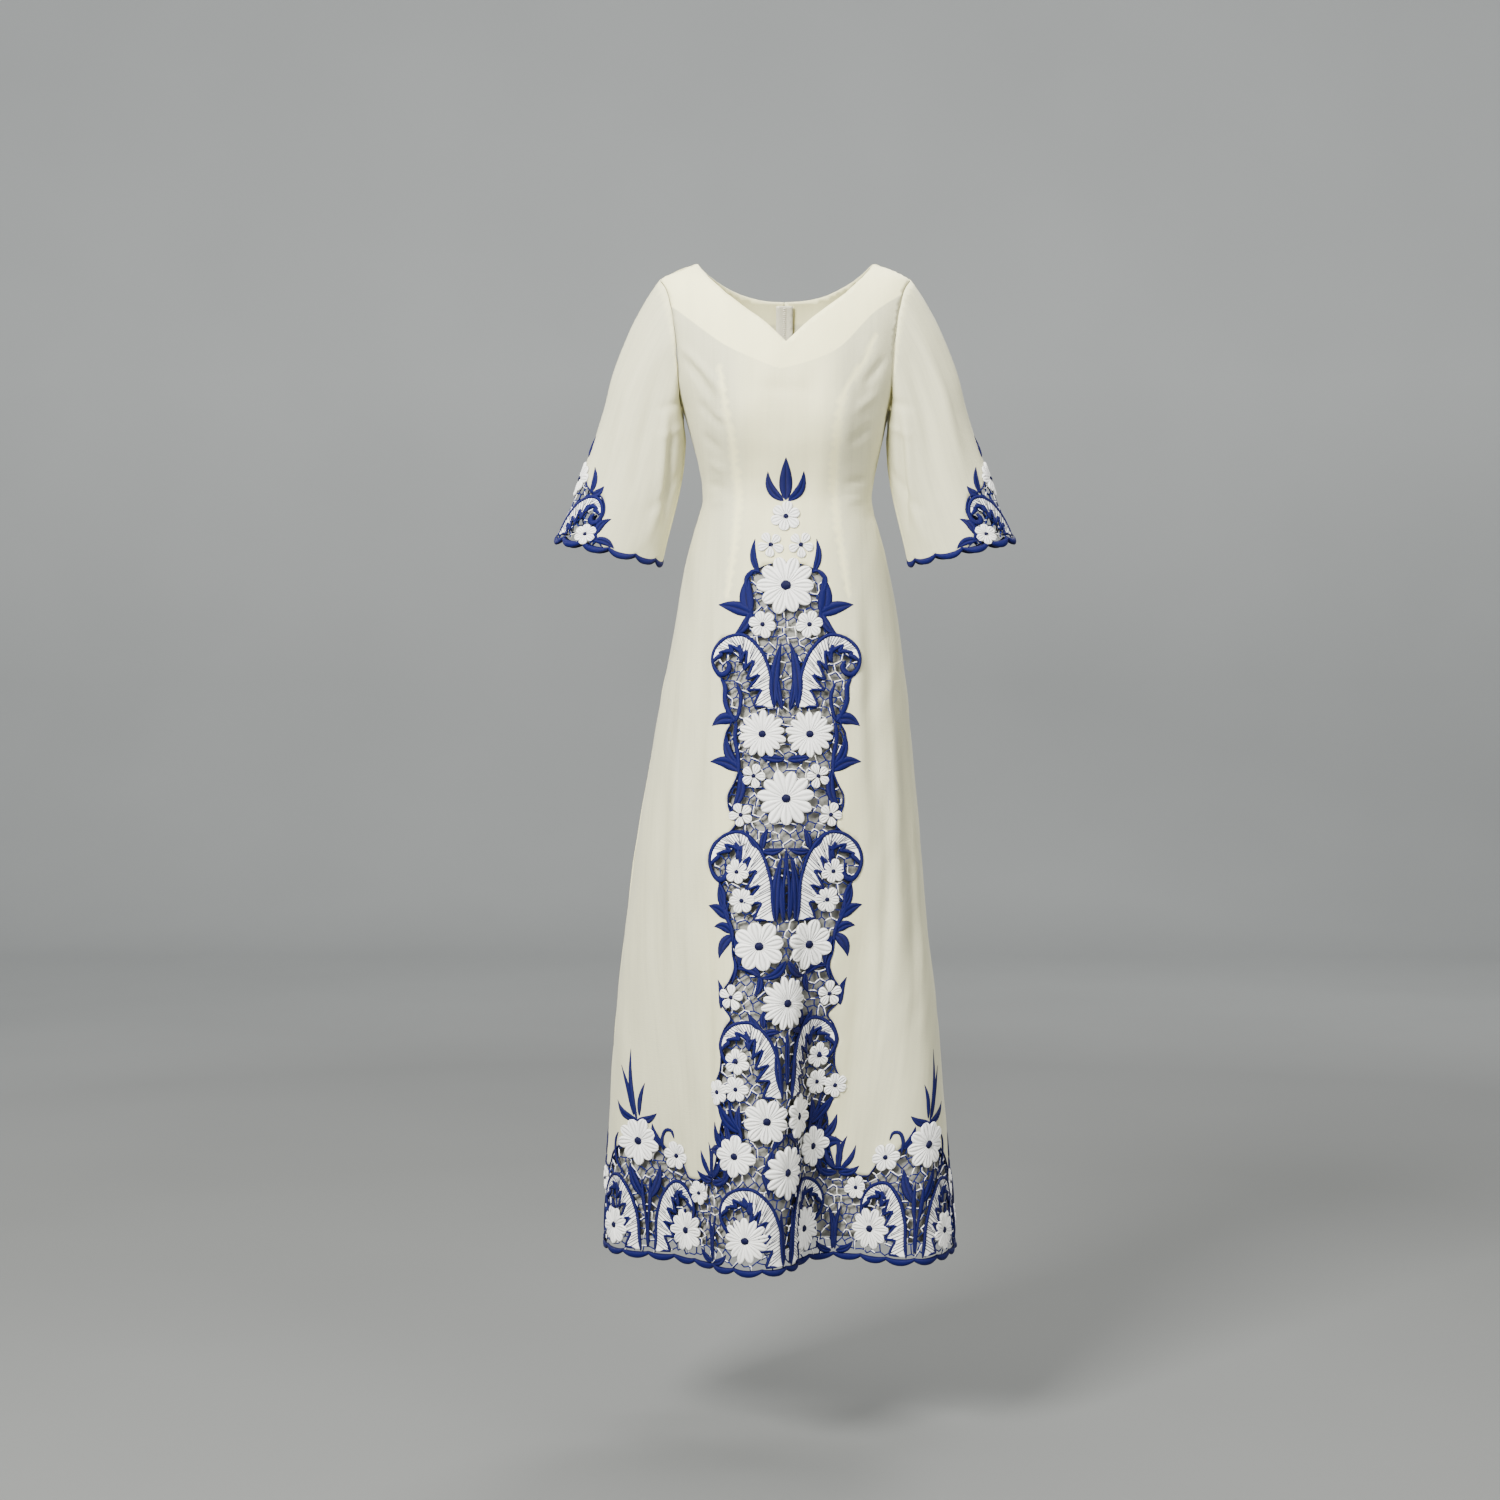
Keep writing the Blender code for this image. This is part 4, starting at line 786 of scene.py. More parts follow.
def sleeve_surface(sign, s, h):
    """Places round a sleeve: s from the outer line, negative to the front, and h above the cuff."""
    front = sleeve_half(sign, False, np.abs(s), h)
    back = sleeve_half(sign, True, np.abs(s), h)
    return np.where((s < 0)[:, None], front, back)


def sleeve_place(sign):
    """Gives the function that places flat points on a sleeve, moved out by lift."""
    def place(flat, lift):
        step = 0.004
        s, h = flat[:, 0], flat[:, 1]
        inner = np.clip(s, -SLEEVE_ROUND + step, SLEEVE_ROUND - step)
        across = sleeve_surface(sign, inner + step, h) - sleeve_surface(sign, inner - step, h)
        up = sleeve_surface(sign, s, h + step) - sleeve_surface(sign, s, h - step)
        normal = np.cross(across, up) * sign
        normal /= np.linalg.norm(normal, axis=1)[:, None]
        extra = creases(SLEEVE_CREASES, s, h) + rumple(s, h)
        extra += seam_dip(SLEEVE_ROUND - np.abs(s))
        extra += seam_dip(sleeve_length(np.abs(s) / SLEEVE_ROUND) - h)
        out = (lift + extra - WALL / 2).reshape(-1, 1)
        return sleeve_surface(sign, s, h) + normal * out

    return place


# Flat shapes


def far_from_line(points, line):
    """Distance of each point from a line of straight pieces."""
    nearest = np.full(len(points), 9.0)
    for (ax, ay), (bx, by) in zip(line[:-1], line[1:]):
        span = np.array([bx - ax, by - ay])
        run = points - np.array([ax, ay])
        part = np.clip(run @ span / max(span @ span, 1e-12), 0.0, 1.0)
        nearest = np.minimum(nearest, np.linalg.norm(run - part[:, None] * span, axis=1))
    return nearest


def inside(points, loop):
    """Whether each point lies inside a closed outline."""
    result = np.zeros(len(points), bool)
    for (ax, ay), (bx, by) in zip(loop, np.roll(loop, -1, axis=0)):
        crosses = (ay > points[:, 1]) != (by > points[:, 1])
        with np.errstate(divide="ignore", invalid="ignore"):
            at = (bx - ax) * (points[:, 1] - ay) / (by - ay) + ax
        result ^= crosses & (points[:, 0] < at)
    return result


def dense(line, step):
    """The same line with points no further apart than step."""
    line = np.asarray(line, float)
    points = [line[:1]]
    for start, end in zip(line[:-1], line[1:]):
        count = max(1, int(math.ceil(np.linalg.norm(end - start) / step)))
        part = np.arange(1, count + 1)[:, None] / count
        points.append(start + (end - start) * part)
    return np.concatenate(points)


def smoothed(line, step=CURVE_STEP):
    """A curve through the line's points, sampled about every step."""
    line = np.asarray(line, float)
    run = lengths_along(line)
    padded = np.vstack((2 * line[0] - line[1], line, 2 * line[-1] - line[-2]))
    count = max(2, int(run[-1] / step) + 1)
    at = np.linspace(0, run[-1], count)
    i = np.clip(np.searchsorted(run, at, side="right") - 1, 0, len(line) - 2)
    t = ((at - run[i]) / (run[i + 1] - run[i]))[:, None]
    p0, p1, p2, p3 = (padded[i + k] for k in range(4))
    cubic = -p0 + 3 * p1 - 3 * p2 + p3
    square = 2 * p0 - 5 * p1 + 4 * p2 - p3
    return 0.5 * (2 * p1 + (p2 - p0) * t + square * t ** 2 + cubic * t ** 3)


def within(away, width):
    """1 up to a width from a line and 0 beyond it, with a soft edge."""
    return 1 - ease((away - width) / 0.002)


def mirrored(line):
    """The line on the other side of the centre line, run the other way."""
    return [(-a, b) for a, b in reversed(list(line))]


def placed(line, sign, middle=0.0):
    """The line measured from a middle, to the side that sign gives."""
    return [(middle + sign * a, b) for a, b in line]


def ways_and_sides(points):
    """Unit directions along a line at its points, and the directions to their left."""
    way = np.gradient(points, axis=0)
    way /= np.maximum(np.linalg.norm(way, axis=1), 1e-9)[:, None]
    return way, np.stack([-way[:, 1], way[:, 0]], axis=1)


# Materials


def linear(red, green, blue):
    """A screen colour as linear light."""
    return tuple(((c / 255 + 0.055) / 1.055) ** 2.4 for c in (red, green, blue))


WHOLE = (1.0, 1.0, 1.0)


class Look:
    """A procedural material with short names for its nodes."""

    def __init__(self, name, roughness, sheen=0.0, gloss=0.5):
        self.material = bpy.data.materials.new(name)
        self.material.use_nodes = True
        self.tree = self.material.node_tree
        self.shader = self.tree.nodes["Principled BSDF"]
        self.feed(self.shader, {
            "Roughness": roughness,
            "Sheen Weight": sheen,
            "Sheen Roughness": 0.4,
            "Specular IOR Level": gloss,
        })

    def feed(self, node, inputs):
        """Gives a node's sockets numbers, vectors, colours or other nodes' outputs."""
        for key, value in inputs.items():
            socket = node.inputs[key]
            if isinstance(value, bpy.types.NodeSocket):
                self.tree.links.new(value, socket)
            else:
                socket.default_value = (*value, 1.0) if socket.type == "RGBA" else value

    def node(self, kind, inputs=None, **settings):
        node = self.tree.nodes.new(kind)
        for key, value in settings.items():
            setattr(node, key, value)
        self.feed(node, inputs or {})
        return node

    def uv(self, across=1.0, along=1.0):
        place = self.node("ShaderNodeUVMap", uv_map="thread").outputs["UV"]
        scale = (across, along, 1.0)
        return self.node("ShaderNodeMapping", {"Vector": place, "Scale": scale}).outputs["Vector"]

    def space(self):
        return self.node("ShaderNodeTexCoord").outputs["Object"]

    # The value a point: two layers of cloth, and painted light and shade
    def layers(self):
        return self.node("ShaderNodeAttribute", attribute_name="layers").outputs["Fac"]

    def noise(self, vector, scale, detail=3.0, rough=0.55):
        inputs = {"Vector": vector, "Scale": scale, "Detail": detail, "Roughness": rough}
        return self.node("ShaderNodeTexNoise", inputs).outputs["Fac"]

    def wave(self, period, direction, warp):
        scale = 2 * math.pi / (20 * period)
        inputs = {"Vector": self.uv(), "Scale": scale, "Distortion": warp, "Detail": 2.0}
        bands = self.node("ShaderNodeTexWave", inputs, wave_type="BANDS", bands_direction=direction)
        return bands.outputs["Fac"]

    def ramp(self, value, *stops):
        ramp = self.node("ShaderNodeValToRGB", {"Fac": value})
        while len(ramp.color_ramp.elements) < len(stops):
            ramp.color_ramp.elements.new(0.5)
        for element, (at, colour) in zip(ramp.color_ramp.elements, stops):
            element.position = at
            element.color = (*colour, 1.0)
        return ramp.outputs["Color"]

    def mix(self, kind, factor, first, second):
        inputs = {0: factor, 6: first, 7: second}
        return self.node("ShaderNodeMix", inputs, data_type="RGBA", blend_type=kind).outputs[2]

    def combine(self, kind, first, second):
        """The sum, product, power or other result of two values."""
        return self.node("ShaderNodeMath", {0: first, 1: second}, operation=kind).outputs[0]

    def bump(self, height, distance):
        inputs = {"Height": height, "Distance": distance, "Strength": 0.9}
        self.feed(self.shader, {"Normal": self.node("ShaderNodeBump", inputs).outputs["Normal"]})

    def rough(self, value, low, high):
        span = self.node("ShaderNodeMapRange", {"Value": value, "To Min": low, "To Max": high})
        self.feed(self.shader, {"Roughness": span.outputs["Result"]})

    def colour(self, value):
        self.feed(self.shader, {"Base Color": value})


def cloth_look(name, base, doubled_and_lit, sheen):
    """Slubby woven cloth with long soft streaks. The value a point is 1 where two layers lie; down the middle
    of the front it paints light, which leaves the sides shaded.
    """
    look = Look(name, 0.62, sheen)
    streak = look.noise(look.uv(1.0, 0.035), 170.0, 4.0, 0.6)
    broad = look.noise(look.uv(1.0, 0.12), 26.0)
    slub = look.noise(look.uv(0.10, 1.0), 620.0, 2.0)
    weave = look.combine("MAXIMUM", look.wave(0.0011, "X", 0.6), look.wave(0.0011, "Y", 0.6))
    dark = tuple(c * 0.93 for c in base)
    light = tuple(min(1.0, c * 1.03) for c in base)
    ground = look.ramp(streak, (0.30, dark), (0.50, base), (0.70, light))
    ground = look.mix("MIX", look.layers(), ground, doubled_and_lit)
    tone = look.ramp(broad, (0.32, (0.87, 0.875, 0.88)), (0.66, WHOLE))
    ground = look.mix("MULTIPLY", 0.75, ground, tone)
    thread = look.ramp(weave, (0.0, (0.86, 0.86, 0.84)), (1.0, WHOLE))
    look.colour(look.mix("MULTIPLY", 0.6, ground, thread))
    height = look.combine("MULTIPLY", weave, 0.35)
    height = look.combine("ADD", height, look.combine("MULTIPLY", slub, 0.8))
    height = look.combine("ADD", height, look.combine("MULTIPLY", streak, 0.9))
    look.bump(height, 0.00034)
    look.rough(streak, 0.58, 0.78)
    return look.material


def thread_look(name, base, period, depth, sheen, roughness, slit_shade=0.35, gloss=0.5):
    """Satin stitch: fine threads side by side across the motif. The value a point is painted shade in the
    stitching's slits, grooves and edges, which darkens it toward the slit factor of its colour.
    """
    look = Look(name, roughness, sheen, gloss)
    threads = look.wave(period, "Y", 1.2)
    patch = look.noise(look.space(), 90.0)
    fine = look.noise(look.space(), 900.0, 2.0)
    dark = tuple(c * 0.84 for c in base)
    light = tuple(min(1.0, c * 1.12) for c in base)
    colour = look.ramp(threads, (0.05, dark), (0.40, base), (1.0, light))
    tone = look.ramp(patch, (0.3, (0.90, 0.90, 0.91)), (0.7, WHOLE))
    colour = look.mix("MULTIPLY", 0.5, colour, tone)
    # Painted shade in slits, grooves and at edges, by the value a point
    look.colour(look.mix("MIX", look.layers(), colour, tuple(c * slit_shade for c in base)))
    look.bump(look.combine("ADD", threads, look.combine("MULTIPLY", fine, 0.4)), depth)
    return look.material


def teeth_look():
    look = Look("zip_teeth", 0.35)
    patch = look.noise(look.space(), 300.0)
    look.colour(look.ramp(patch, (0.3, linear(196, 192, 176)), (0.7, linear(216, 212, 196))))
    return look.material


IVORY = linear(205, 202, 169)
# The colour of doubled cloth, also mixed into the front's middle as painted light
IVORY_DOUBLE_AND_LIT = linear(249, 243, 190)
# Painted shade: the ivory lining is coloured grey, as it looks in the shade behind the openwork
SHADED_LINING_TONE = linear(138, 137, 131)
CLOTH = cloth_look("ivory_cloth", IVORY, IVORY_DOUBLE_AND_LIT, 0.15)
FACING = cloth_look("facing_cloth", linear(226, 219, 182), IVORY_DOUBLE_AND_LIT, 0.1)
LINING = cloth_look("lining_cloth", SHADED_LINING_TONE, SHADED_LINING_TONE, 0.05)
BLUE = thread_look("blue_thread", linear(4, 9, 74), 0.0008, 0.00020, 0.0, 0.6, 0.25, 0.18)
DEEP = thread_look("deep_blue_thread", linear(3, 6, 50), 0.0008, 0.00020, 0.0, 0.6, 0.35, 0.18)
NET = thread_look("net_blue_thread", linear(16, 26, 96), 0.0008, 0.00010, 0.0, 0.6, 0.5, 0.18)
WHITE = thread_look("white_thread", linear(253, 252, 248), 0.0010, 0.00016, 0.1, 0.6, 0.30)
PLAIN_WHITE = thread_look("white_ground", linear(252, 251, 246), 0.0012, 0.00008, 0.05, 0.65, 0.8)
# Grey for the plumes' hatch lines: painted shadow of the slits between white stitched rows
SLIT_SHADOW = thread_look("hatch_slit_shadow", linear(60, 62, 80), 0.0008, 0.00010, 0.0, 0.6)
TAPE = thread_look("zip_tape", linear(206, 202, 182), 0.0009, 0.00012, 0.1, 0.7)
TOOTH = teeth_look()


# Meshes


def show(name, data):
    item = bpy.data.objects.new(name, data)
    bpy.context.scene.collection.objects.link(item)
    return item


def make_piece(name, points, faces, flat, material, layers_and_light_value):
    """A mesh from arrays: index arrays of three or four columns, and a flat place and a value a point, which
    marks two layers of cloth, and painted light and shade.
    """
    mesh = bpy.data.meshes.new(name)
    corners = np.concatenate([face.reshape(-1) for face in faces]).astype(np.int32)
    sizes = np.concatenate([np.full(len(face), face.shape[1]) for face in faces])
    starts = np.concatenate(([0], np.cumsum(sizes)[:-1])).astype(np.int32)
    mesh.vertices.add(len(points))
    mesh.vertices.foreach_set("co", np.asarray(points, np.float32).reshape(-1))
    mesh.loops.add(len(corners))
    mesh.loops.foreach_set("vertex_index", corners)
    mesh.polygons.add(len(sizes))
    mesh.polygons.foreach_set("loop_start", starts)
    mesh.update(calc_edges=True)
    layer = mesh.uv_layers.new(name="thread")
    layer.data.foreach_set("uv", np.asarray(flat, np.float32)[corners].reshape(-1))
    attribute = mesh.attributes.new("layers", "FLOAT", "POINT")
    attribute.data.foreach_set("value", np.asarray(layers_and_light_value, np.float32))
    mesh.polygons.foreach_set("use_smooth", np.full(len(sizes), True))
    mesh.materials.append(material)
    mesh.validate()
    item = show(name, mesh)
    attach(item, "root")
    return item


def triangulate(points, loop_count):
    """Triangles inside the closed outline made by the first loop_count points."""
    coords = [Vector((a * 1000, b * 1000)) for a, b in points]
    verts, _, faces, _, _, _ = delaunay_2d_cdt(coords, [], [list(range(loop_count))], 1, 1e-6)
    flat = np.array([(v.x / 1000, v.y / 1000) for v in verts])
    tris = np.array([face for face in faces if len(face) == 3])
    a, b, c = flat[tris[:, 0]], flat[tris[:, 1]], flat[tris[:, 2]]
    area = (b[:, 0] - a[:, 0]) * (c[:, 1] - a[:, 1]) - (b[:, 1] - a[:, 1]) * (c[:, 0] - a[:, 0])
    tris[area < 0] = tris[area < 0][:, ::-1]
    return flat, tris, float(np.abs(area).sum() / 2)


def both_sides(line, away, step):
    """Points on each side of a line, for a sharp change of tone across it."""
    points = dense(line, step)
    side = ways_and_sides(points)[1] * away
    return np.concatenate((points - side, points + side))


def cloth_piece(name, outline, place, material, heights, paint=None, step=STEP, turned=False, marks=()):
    """A thin closed shell cut to a flat outline, with mesh points along the marked lines.

    heights are those of its outer and inner face. Gives the piece, its flat size and its flat area.
    """
    outline = dense([*outline, outline[0]], step * 0.8)[:-1]
    low, high = outline.min(axis=0), outline.max(axis=0)
    rows = []
    for k, b in enumerate(np.arange(low[1] + step / 2, high[1], step * 0.87)):
        a = np.arange(low[0] + (k % 2) * step / 2, high[0], step)
        rows.append(np.stack([a, np.full(len(a), b)], axis=1))
    grid = np.concatenate(rows)
    closed = np.vstack((outline, outline[:1]))
    grid = grid[inside(grid, outline)]
    grid = grid[far_from_line(grid, closed) > step * 0.45]
    for line in marks:
        pairs = both_sides(line, 0.0011, step * 0.6)
        pairs = pairs[inside(pairs, outline)]
        pairs = pairs[far_from_line(pairs, closed) > step * 0.35]
        grid = grid[far_from_line(grid, line) > step * 0.50]
        grid = np.concatenate((grid, pairs))
    flat, tris, area = triangulate(np.vstack((outline, grid)), len(outline))
    count = len(flat)
    outer, inner = (place(flat, np.full(count, height)) for height in heights)
    edges = np.concatenate([tris[:, [0, 1]], tris[:, [1, 2]], tris[:, [2, 0]]]).astype(np.int64)
    start, end = edges.T
    rim = edges[~np.isin(start * count + end, end * count + start)]
    sides = np.hstack((rim, rim[:, ::-1] + count))
    faces = [tris[:, ::-1], tris + count, sides]
    if turned:
        faces = [face[:, ::-1] for face in faces]
    layers_and_light = paint(flat) if paint else np.zeros(count)
    item = make_piece(name, np.vstack((outer, inner)), faces, np.vstack((flat, flat)), material,
                      np.concatenate((layers_and_light, layers_and_light)))
    return item, tuple(map(float, high - low)), area


class Stitches:
    """Collects raised strips in flat places, then makes them one piece on the cloth."""

    def __init__(self):
        self.flat, self.lift, self.shade, self.uv = [], [], [], []
        self.quads, self.caps = [], []
        self.count = 0

    def strip(self, lefts, rights, rise, profile, base=MOTIF_BASE):
        """A closed raised strip between two edges, with profile as its section."""
        rise = np.broadcast_to(np.asarray(rise, float), (len(lefts),))
        across, share, shade = np.array(profile).T
        n, m = len(lefts), len(profile)
        flat = lefts[:, None, :] + (rights - lefts)[:, None, :] * across[None, :, None]
        lift = base + rise[:, None] * share[None, :]
        run = lengths_along((lefts + rights) / 2)
        width = np.linalg.norm(rights - lefts, axis=1)
        uv = np.stack([across[None, :] * width[:, None], np.repeat(run[:, None], m, axis=1)], axis=2)
        index = np.arange(n * m).reshape(n, m) + self.count
        following = np.roll(index, -1, axis=1)
        quads = np.stack([index[:-1], following[:-1], following[1:], index[1:]], axis=2).reshape(-1, 4)
        self.flat.append(flat.reshape(-1, 2))
        self.lift.append(lift.reshape(-1))
        # The section's painted shade at every point of the strip
        self.shade.append(np.tile(shade, n))
        self.uv.append(uv.reshape(-1, 2))
        self.quads.append(quads)
        fan = [(0, k, k + 1) for k in range(1, m - 1)]
        first, last = index[0], index[-1]
        self.caps += [(first[a], first[c], first[b]) for a, b, c in fan]
        self.caps += [(last[a], last[b], last[c]) for a, b, c in fan]
        self.count += n * m

    def line(self, points, half, rise, profile, base=MOTIF_BASE):
        """A raised strip along a line; half and rise are numbers or a value a point."""
        points = np.asarray(points, float)
        side = ways_and_sides(points)[1]
        half = np.broadcast_to(np.asarray(half, float), (len(points),))[:, None]
        self.strip(points - side * half, points + side * half, rise, profile, base)

    def make(self, name, place, material, turned=False):
        flat, lift, uv, shade = (np.concatenate(rows) for rows in (self.flat, self.lift, self.uv, self.shade))
        faces = [np.concatenate(self.quads), np.array(self.caps)]
        if turned:
            faces = [face[:, ::-1] for face in faces]
        return make_piece(name, place(flat, lift), faces, uv, material, shade)


# Motifs


def section(*rows):
    """The whole of a symmetric section, from its rows between one edge and the middle."""
    return (*rows, *((round(1 - across, 6), rise, shade) for across, rise, shade in reversed(rows[:-1])))


# Sections of raised stitching: share of the width, share of the rise, painted shade, darkest in slits and
# grooves and at the edges
ROUND = section((0.00, 0.00, 0.60), (0.05, 0.50, 0.35), (0.20, 0.86, 0.00), (0.50, 1.00, 0.00))
THIN = section((0.00, 0.00, 0.30), (0.18, 0.85, 0.00), (0.50, 1.00, 0.00))
FLAT_BAND = section((0.00, 0.00, 0.40), (0.03, 0.85, 0.10), (0.25, 1.00, 0.00), (0.50, 1.00, 0.00))
VEINED = section(
    (0.00, 0.00, 0.70),
    (0.05, 0.55, 0.30),
    (0.20, 0.95, 0.00),
    (0.43, 0.95, 0.00),
    (0.50, 0.50, 0.90),
)
PETAL = section(
    (0.000, 0.00, 0.95),
    (0.040, 0.60, 0.30),
    (0.120, 0.95, 0.00),
    (0.240, 1.00, 0.00),
    (0.280, 0.84, 0.35),
    (0.325, 0.50, 0.70),
    (0.370, 0.84, 0.35),
    (0.500, 1.04, 0.00),
)
SLIM_PETAL = section(
    (0.00, 0.00, 0.95),
    (0.07, 0.65, 0.25),
    (0.22, 0.98, 0.00),
    (0.41, 0.92, 0.20),
    (0.50, 0.55, 0.65),
)


def add_leaf(motifs, row, sign, middle=0.0):
    """A pointed leaf from a table row, on the side of a middle that sign gives."""
    a0, b0, a1, b1, half, bow = row
    base, tip = np.array(placed(((a0, b0), (a1, b1)), sign, middle))
    way = tip - base
    length = np.linalg.norm(way)
    side = np.array([-way[1], way[0]]) / length
    part = np.concatenate(([0.0, 0.02, 0.06], np.linspace(0.12, 0.88, 9), [0.94, 0.98, 1.0]))
    line = base + way * part[:, None] + side * (bow * sign * np.sin(math.pi * part))[:, None]
    width = half * np.sin(math.pi * part ** 0.75) ** 0.9 + 0.0004
    foot = half * 0.30 * np.sqrt(np.clip(part / 0.06, 0, 1)) + 0.0003
    width = np.where(part < 0.2, np.maximum(width, foot), width)
    profile = VEINED if half > 0.0040 else ROUND
    motifs.blue.line(line, width, LEAF_RISE * np.clip(width / half, 0.25, 1.0), profile)


def add_cord(bag, points, half, rise, taper=0.012):
    """A round cord that thins out toward both ends."""
    run = lengths_along(points)
    ends = np.minimum(run, run[-1] - run)
    share = 0.25 + 0.75 * np.clip(ends / taper, 0, 1) ** 0.6
    bag.line(points, half * share, rise * (0.5 + 0.5 * share), ROUND)


def add_stem(motifs, row, sign, middle=0.0):
    """A round stem from a table row, placed in the same way."""
    half, *points = row
    add_cord(motifs.blue, smoothed(placed(points, sign, middle)), half, LEAF_RISE)


def add_flower(motifs, centre, radius, petals, turn):
    """Padded petals with stitched slits round a deep blue eye."""
    slim = petals >= 11
    spread = math.pi / petals
    widest = min(radius * 0.73 * math.tan(spread), radius * (0.36 if petals < 7 else 0.30))
    rise = 0.0022 + 0.040 * radius
    part = np.array([0.0, 0.06, 0.18, 0.34, 0.50, 0.64, 0.76, 0.86, 0.93, 0.975, 1.0])
    for k in range(petals):
        wobble = 0.05 * math.sin(7.1 * k + 31.0 * centre[0] + 17.0 * centre[1])
        angle = turn + 2 * math.pi * k / petals + wobble * spread
        reach = radius * (1.0 + 0.045 * math.sin(3.3 * k + 1.7 + 40 * centre[0]))
        way = np.array([math.sin(angle), -math.cos(angle)])
        line = np.array(centre) + way * (reach * (0.10 + 0.90 * part))[:, None]
        rounding = np.sqrt(np.clip(1 - ((part - 0.68) / 0.325) ** 2, 0.0, 1.0))
        grow = 0.20 + 0.80 * ease(part / 0.68)
        width = widest * np.where(part > 0.68, rounding, grow) + 0.0004
        height = rise * np.where(part > 0.9, 0.60 + 0.4 * rounding, 0.55 + 0.45 * ease(part / 0.35))
        lay = MOTIF_BASE + 0.0004 * (k % 2)
        motifs.white.line(line, width, height, SLIM_PETAL if slim else PETAL, lay)
    eye = radius * (0.17 if slim else 0.19)
    part = np.sin(np.linspace(-math.pi / 2, math.pi / 2, 9))
    line = np.array(centre) + np.stack([eye * part * 0.98, np.zeros(9)], axis=1)
    width = eye * np.sqrt(np.clip(1 - (part * 0.98) ** 2, 0.0, 1.0)) + 0.0003
    height = (rise + 0.0012) * (0.55 + 0.45 * np.sqrt(np.clip(1 - part ** 2, 0, 1)))
    motifs.eyes.line(line, width, height, ROUND)
    motifs.covered.append((centre, radius))


def add_plume_row(motifs, row, sign, middle=0.0):
    """A plume of the body from a table row, its spine from the foot over the top to the curl."""
    foot, foot_drop, top_drop, outer, band, teeth = row
    shape = [(foot + (outer - foot) * a, foot_drop - (foot_drop - top_drop) * b) for a, b in PLUME_SHAPE]
    add_plume(motifs, smoothed(placed(shape, sign, middle), PLUME_STEP), band, teeth, sign)


def add_plume(motifs, spine, band, teeth, hand):
    """A hooked plume: an outer cord, a white band whose hatch slits are painted as grey shadow strips, and a
    toothed inner edge. hand is 1 or -1.
    """
    n = len(spine)
    part = np.linspace(0, 1, n)
    way, inward = ways_and_sides(spine)
    inward *= hand
    last = 0.80
    reach = band * (0.55 + 0.45 * ease(part / 0.12)) * (1 - 0.42 * ease((part - 0.42) / 0.28))
    reach *= 1 - ease((part - 0.70) / 0.12)
    saw = (part / last * teeth) % 1.0
    tooth = np.where(saw < 0.60, saw / 0.60, (1 - saw) / 0.40)
    depth = reach * (0.40 + 0.60 * tooth)
    edge = spine + inward * depth[:, None] - way * (reach * 0.40 * (tooth - 0.3))[:, None]
    stop = int(n * last)
    motifs.white.strip(spine[1:stop], edge[1:stop], 0.0013, FLAT_BAND)
    thick = 0.0020 + 0.0014 * ease((part - 0.30) / 0.20) * tooth
    add_cord(motifs.blue, edge[1:stop], thick[1:stop], 0.0026, 0.006)
    curl = 1 + 0.6 * ease((part - 0.78) / 0.14) * (1 - 0.3 * ease((part - 0.95) / 0.05))
    add_cord(motifs.blue, spine, 0.0025 * curl, 0.0028, 0.010)
    # Grey strips across the white band: painted shadow in its hatch slits
    for k in range(int(n * 0.05), int(n * 0.70), 2):
        start = spine[k] + inward[k] * 0.0020 + way[k] * depth[k] * 0.16
        end = spine[k] + inward[k] * (depth[k] - 0.0012) - way[k] * depth[k] * 0.26
        hatch = start + (end - start) * np.linspace(0, 1, 4)[:, None]
        if depth[k] > 0.005:
            motifs.hatching.line(hatch, 0.00068, 0.0006, THIN, MOTIF_BASE + 0.0011)


def add_net(motifs, room, box, pitch, seed):
    """A net of short stitched bars over the openwork, left out where a flower covers it.

    room gives the distance inside the openwork's edge at flat places, and box the first and last corner.
    """
    rng = np.random.default_rng(seed)
    (a0, b0), (a1, b1) = box
    rows = int((b1 - b0) / (pitch * 0.75)) + 2
    columns = int((a1 - a0) / (pitch * 0.866)) + 2
    shift = {}

    def corner(i, j):
        if (i, j) not in shift:
            shift[(i, j)] = rng.uniform(-0.20, 0.20, 2) * pitch
        a = a0 + pitch * 0.433 * i
        b = b0 + pitch * 0.75 * j + (pitch * 0.25 if (i + j) % 2 else 0.0)
        return np.array([a, b]) + shift[(i, j)]

    links = []
    for j in range(rows):
        for i in range(2 * columns):
            links.append((corner(i, j), corner(i + 1, j)))
            if (i + j) % 2:
                links.append((corner(i, j), corner(i, j + 1)))
    links = np.array(links)
    middle = links.mean(axis=1)
    keep = room(middle) > -0.001
    keep &= (room(links[:, 0]) > -0.004) & (room(links[:, 1]) > -0.004)
    links, middle = links[keep], middle[keep]
    hidden = np.zeros(len(links), bool)
    for centre, radius in motifs.covered:
        hidden |= np.linalg.norm(middle - np.array(centre), axis=1) < radius * 0.70
    for start, end in links[~hidden]:
        chance = rng.random()
        sag = rng.uniform(-0.0006, 0.0006)
        way = end - start
        side = np.array([-way[1], way[0]])
        line = start + way * np.array([-0.06, 0.5, 1.06])[:, None]
        side = side / max(np.linalg.norm(side), 1e-9)
        line[1] += side * sag
        with_white = chance < WHITE_SHARE
        if with_white:
            motifs.white_bars.line(line, *WHITE_BAR, THIN, NET_BASE)
        if chance > ONLY_WHITE_SHARE:
            beside = side * (BESIDE if with_white else 0.0)
            motifs.blue_bars.line(line + beside, *BLUE_BAR, THIN, NET_BASE)


def scallop(part, depth):
    """How far in the edge lies, by the share of the way along one scallop."""
    return depth * np.abs(2 * part - 1) ** 2.2


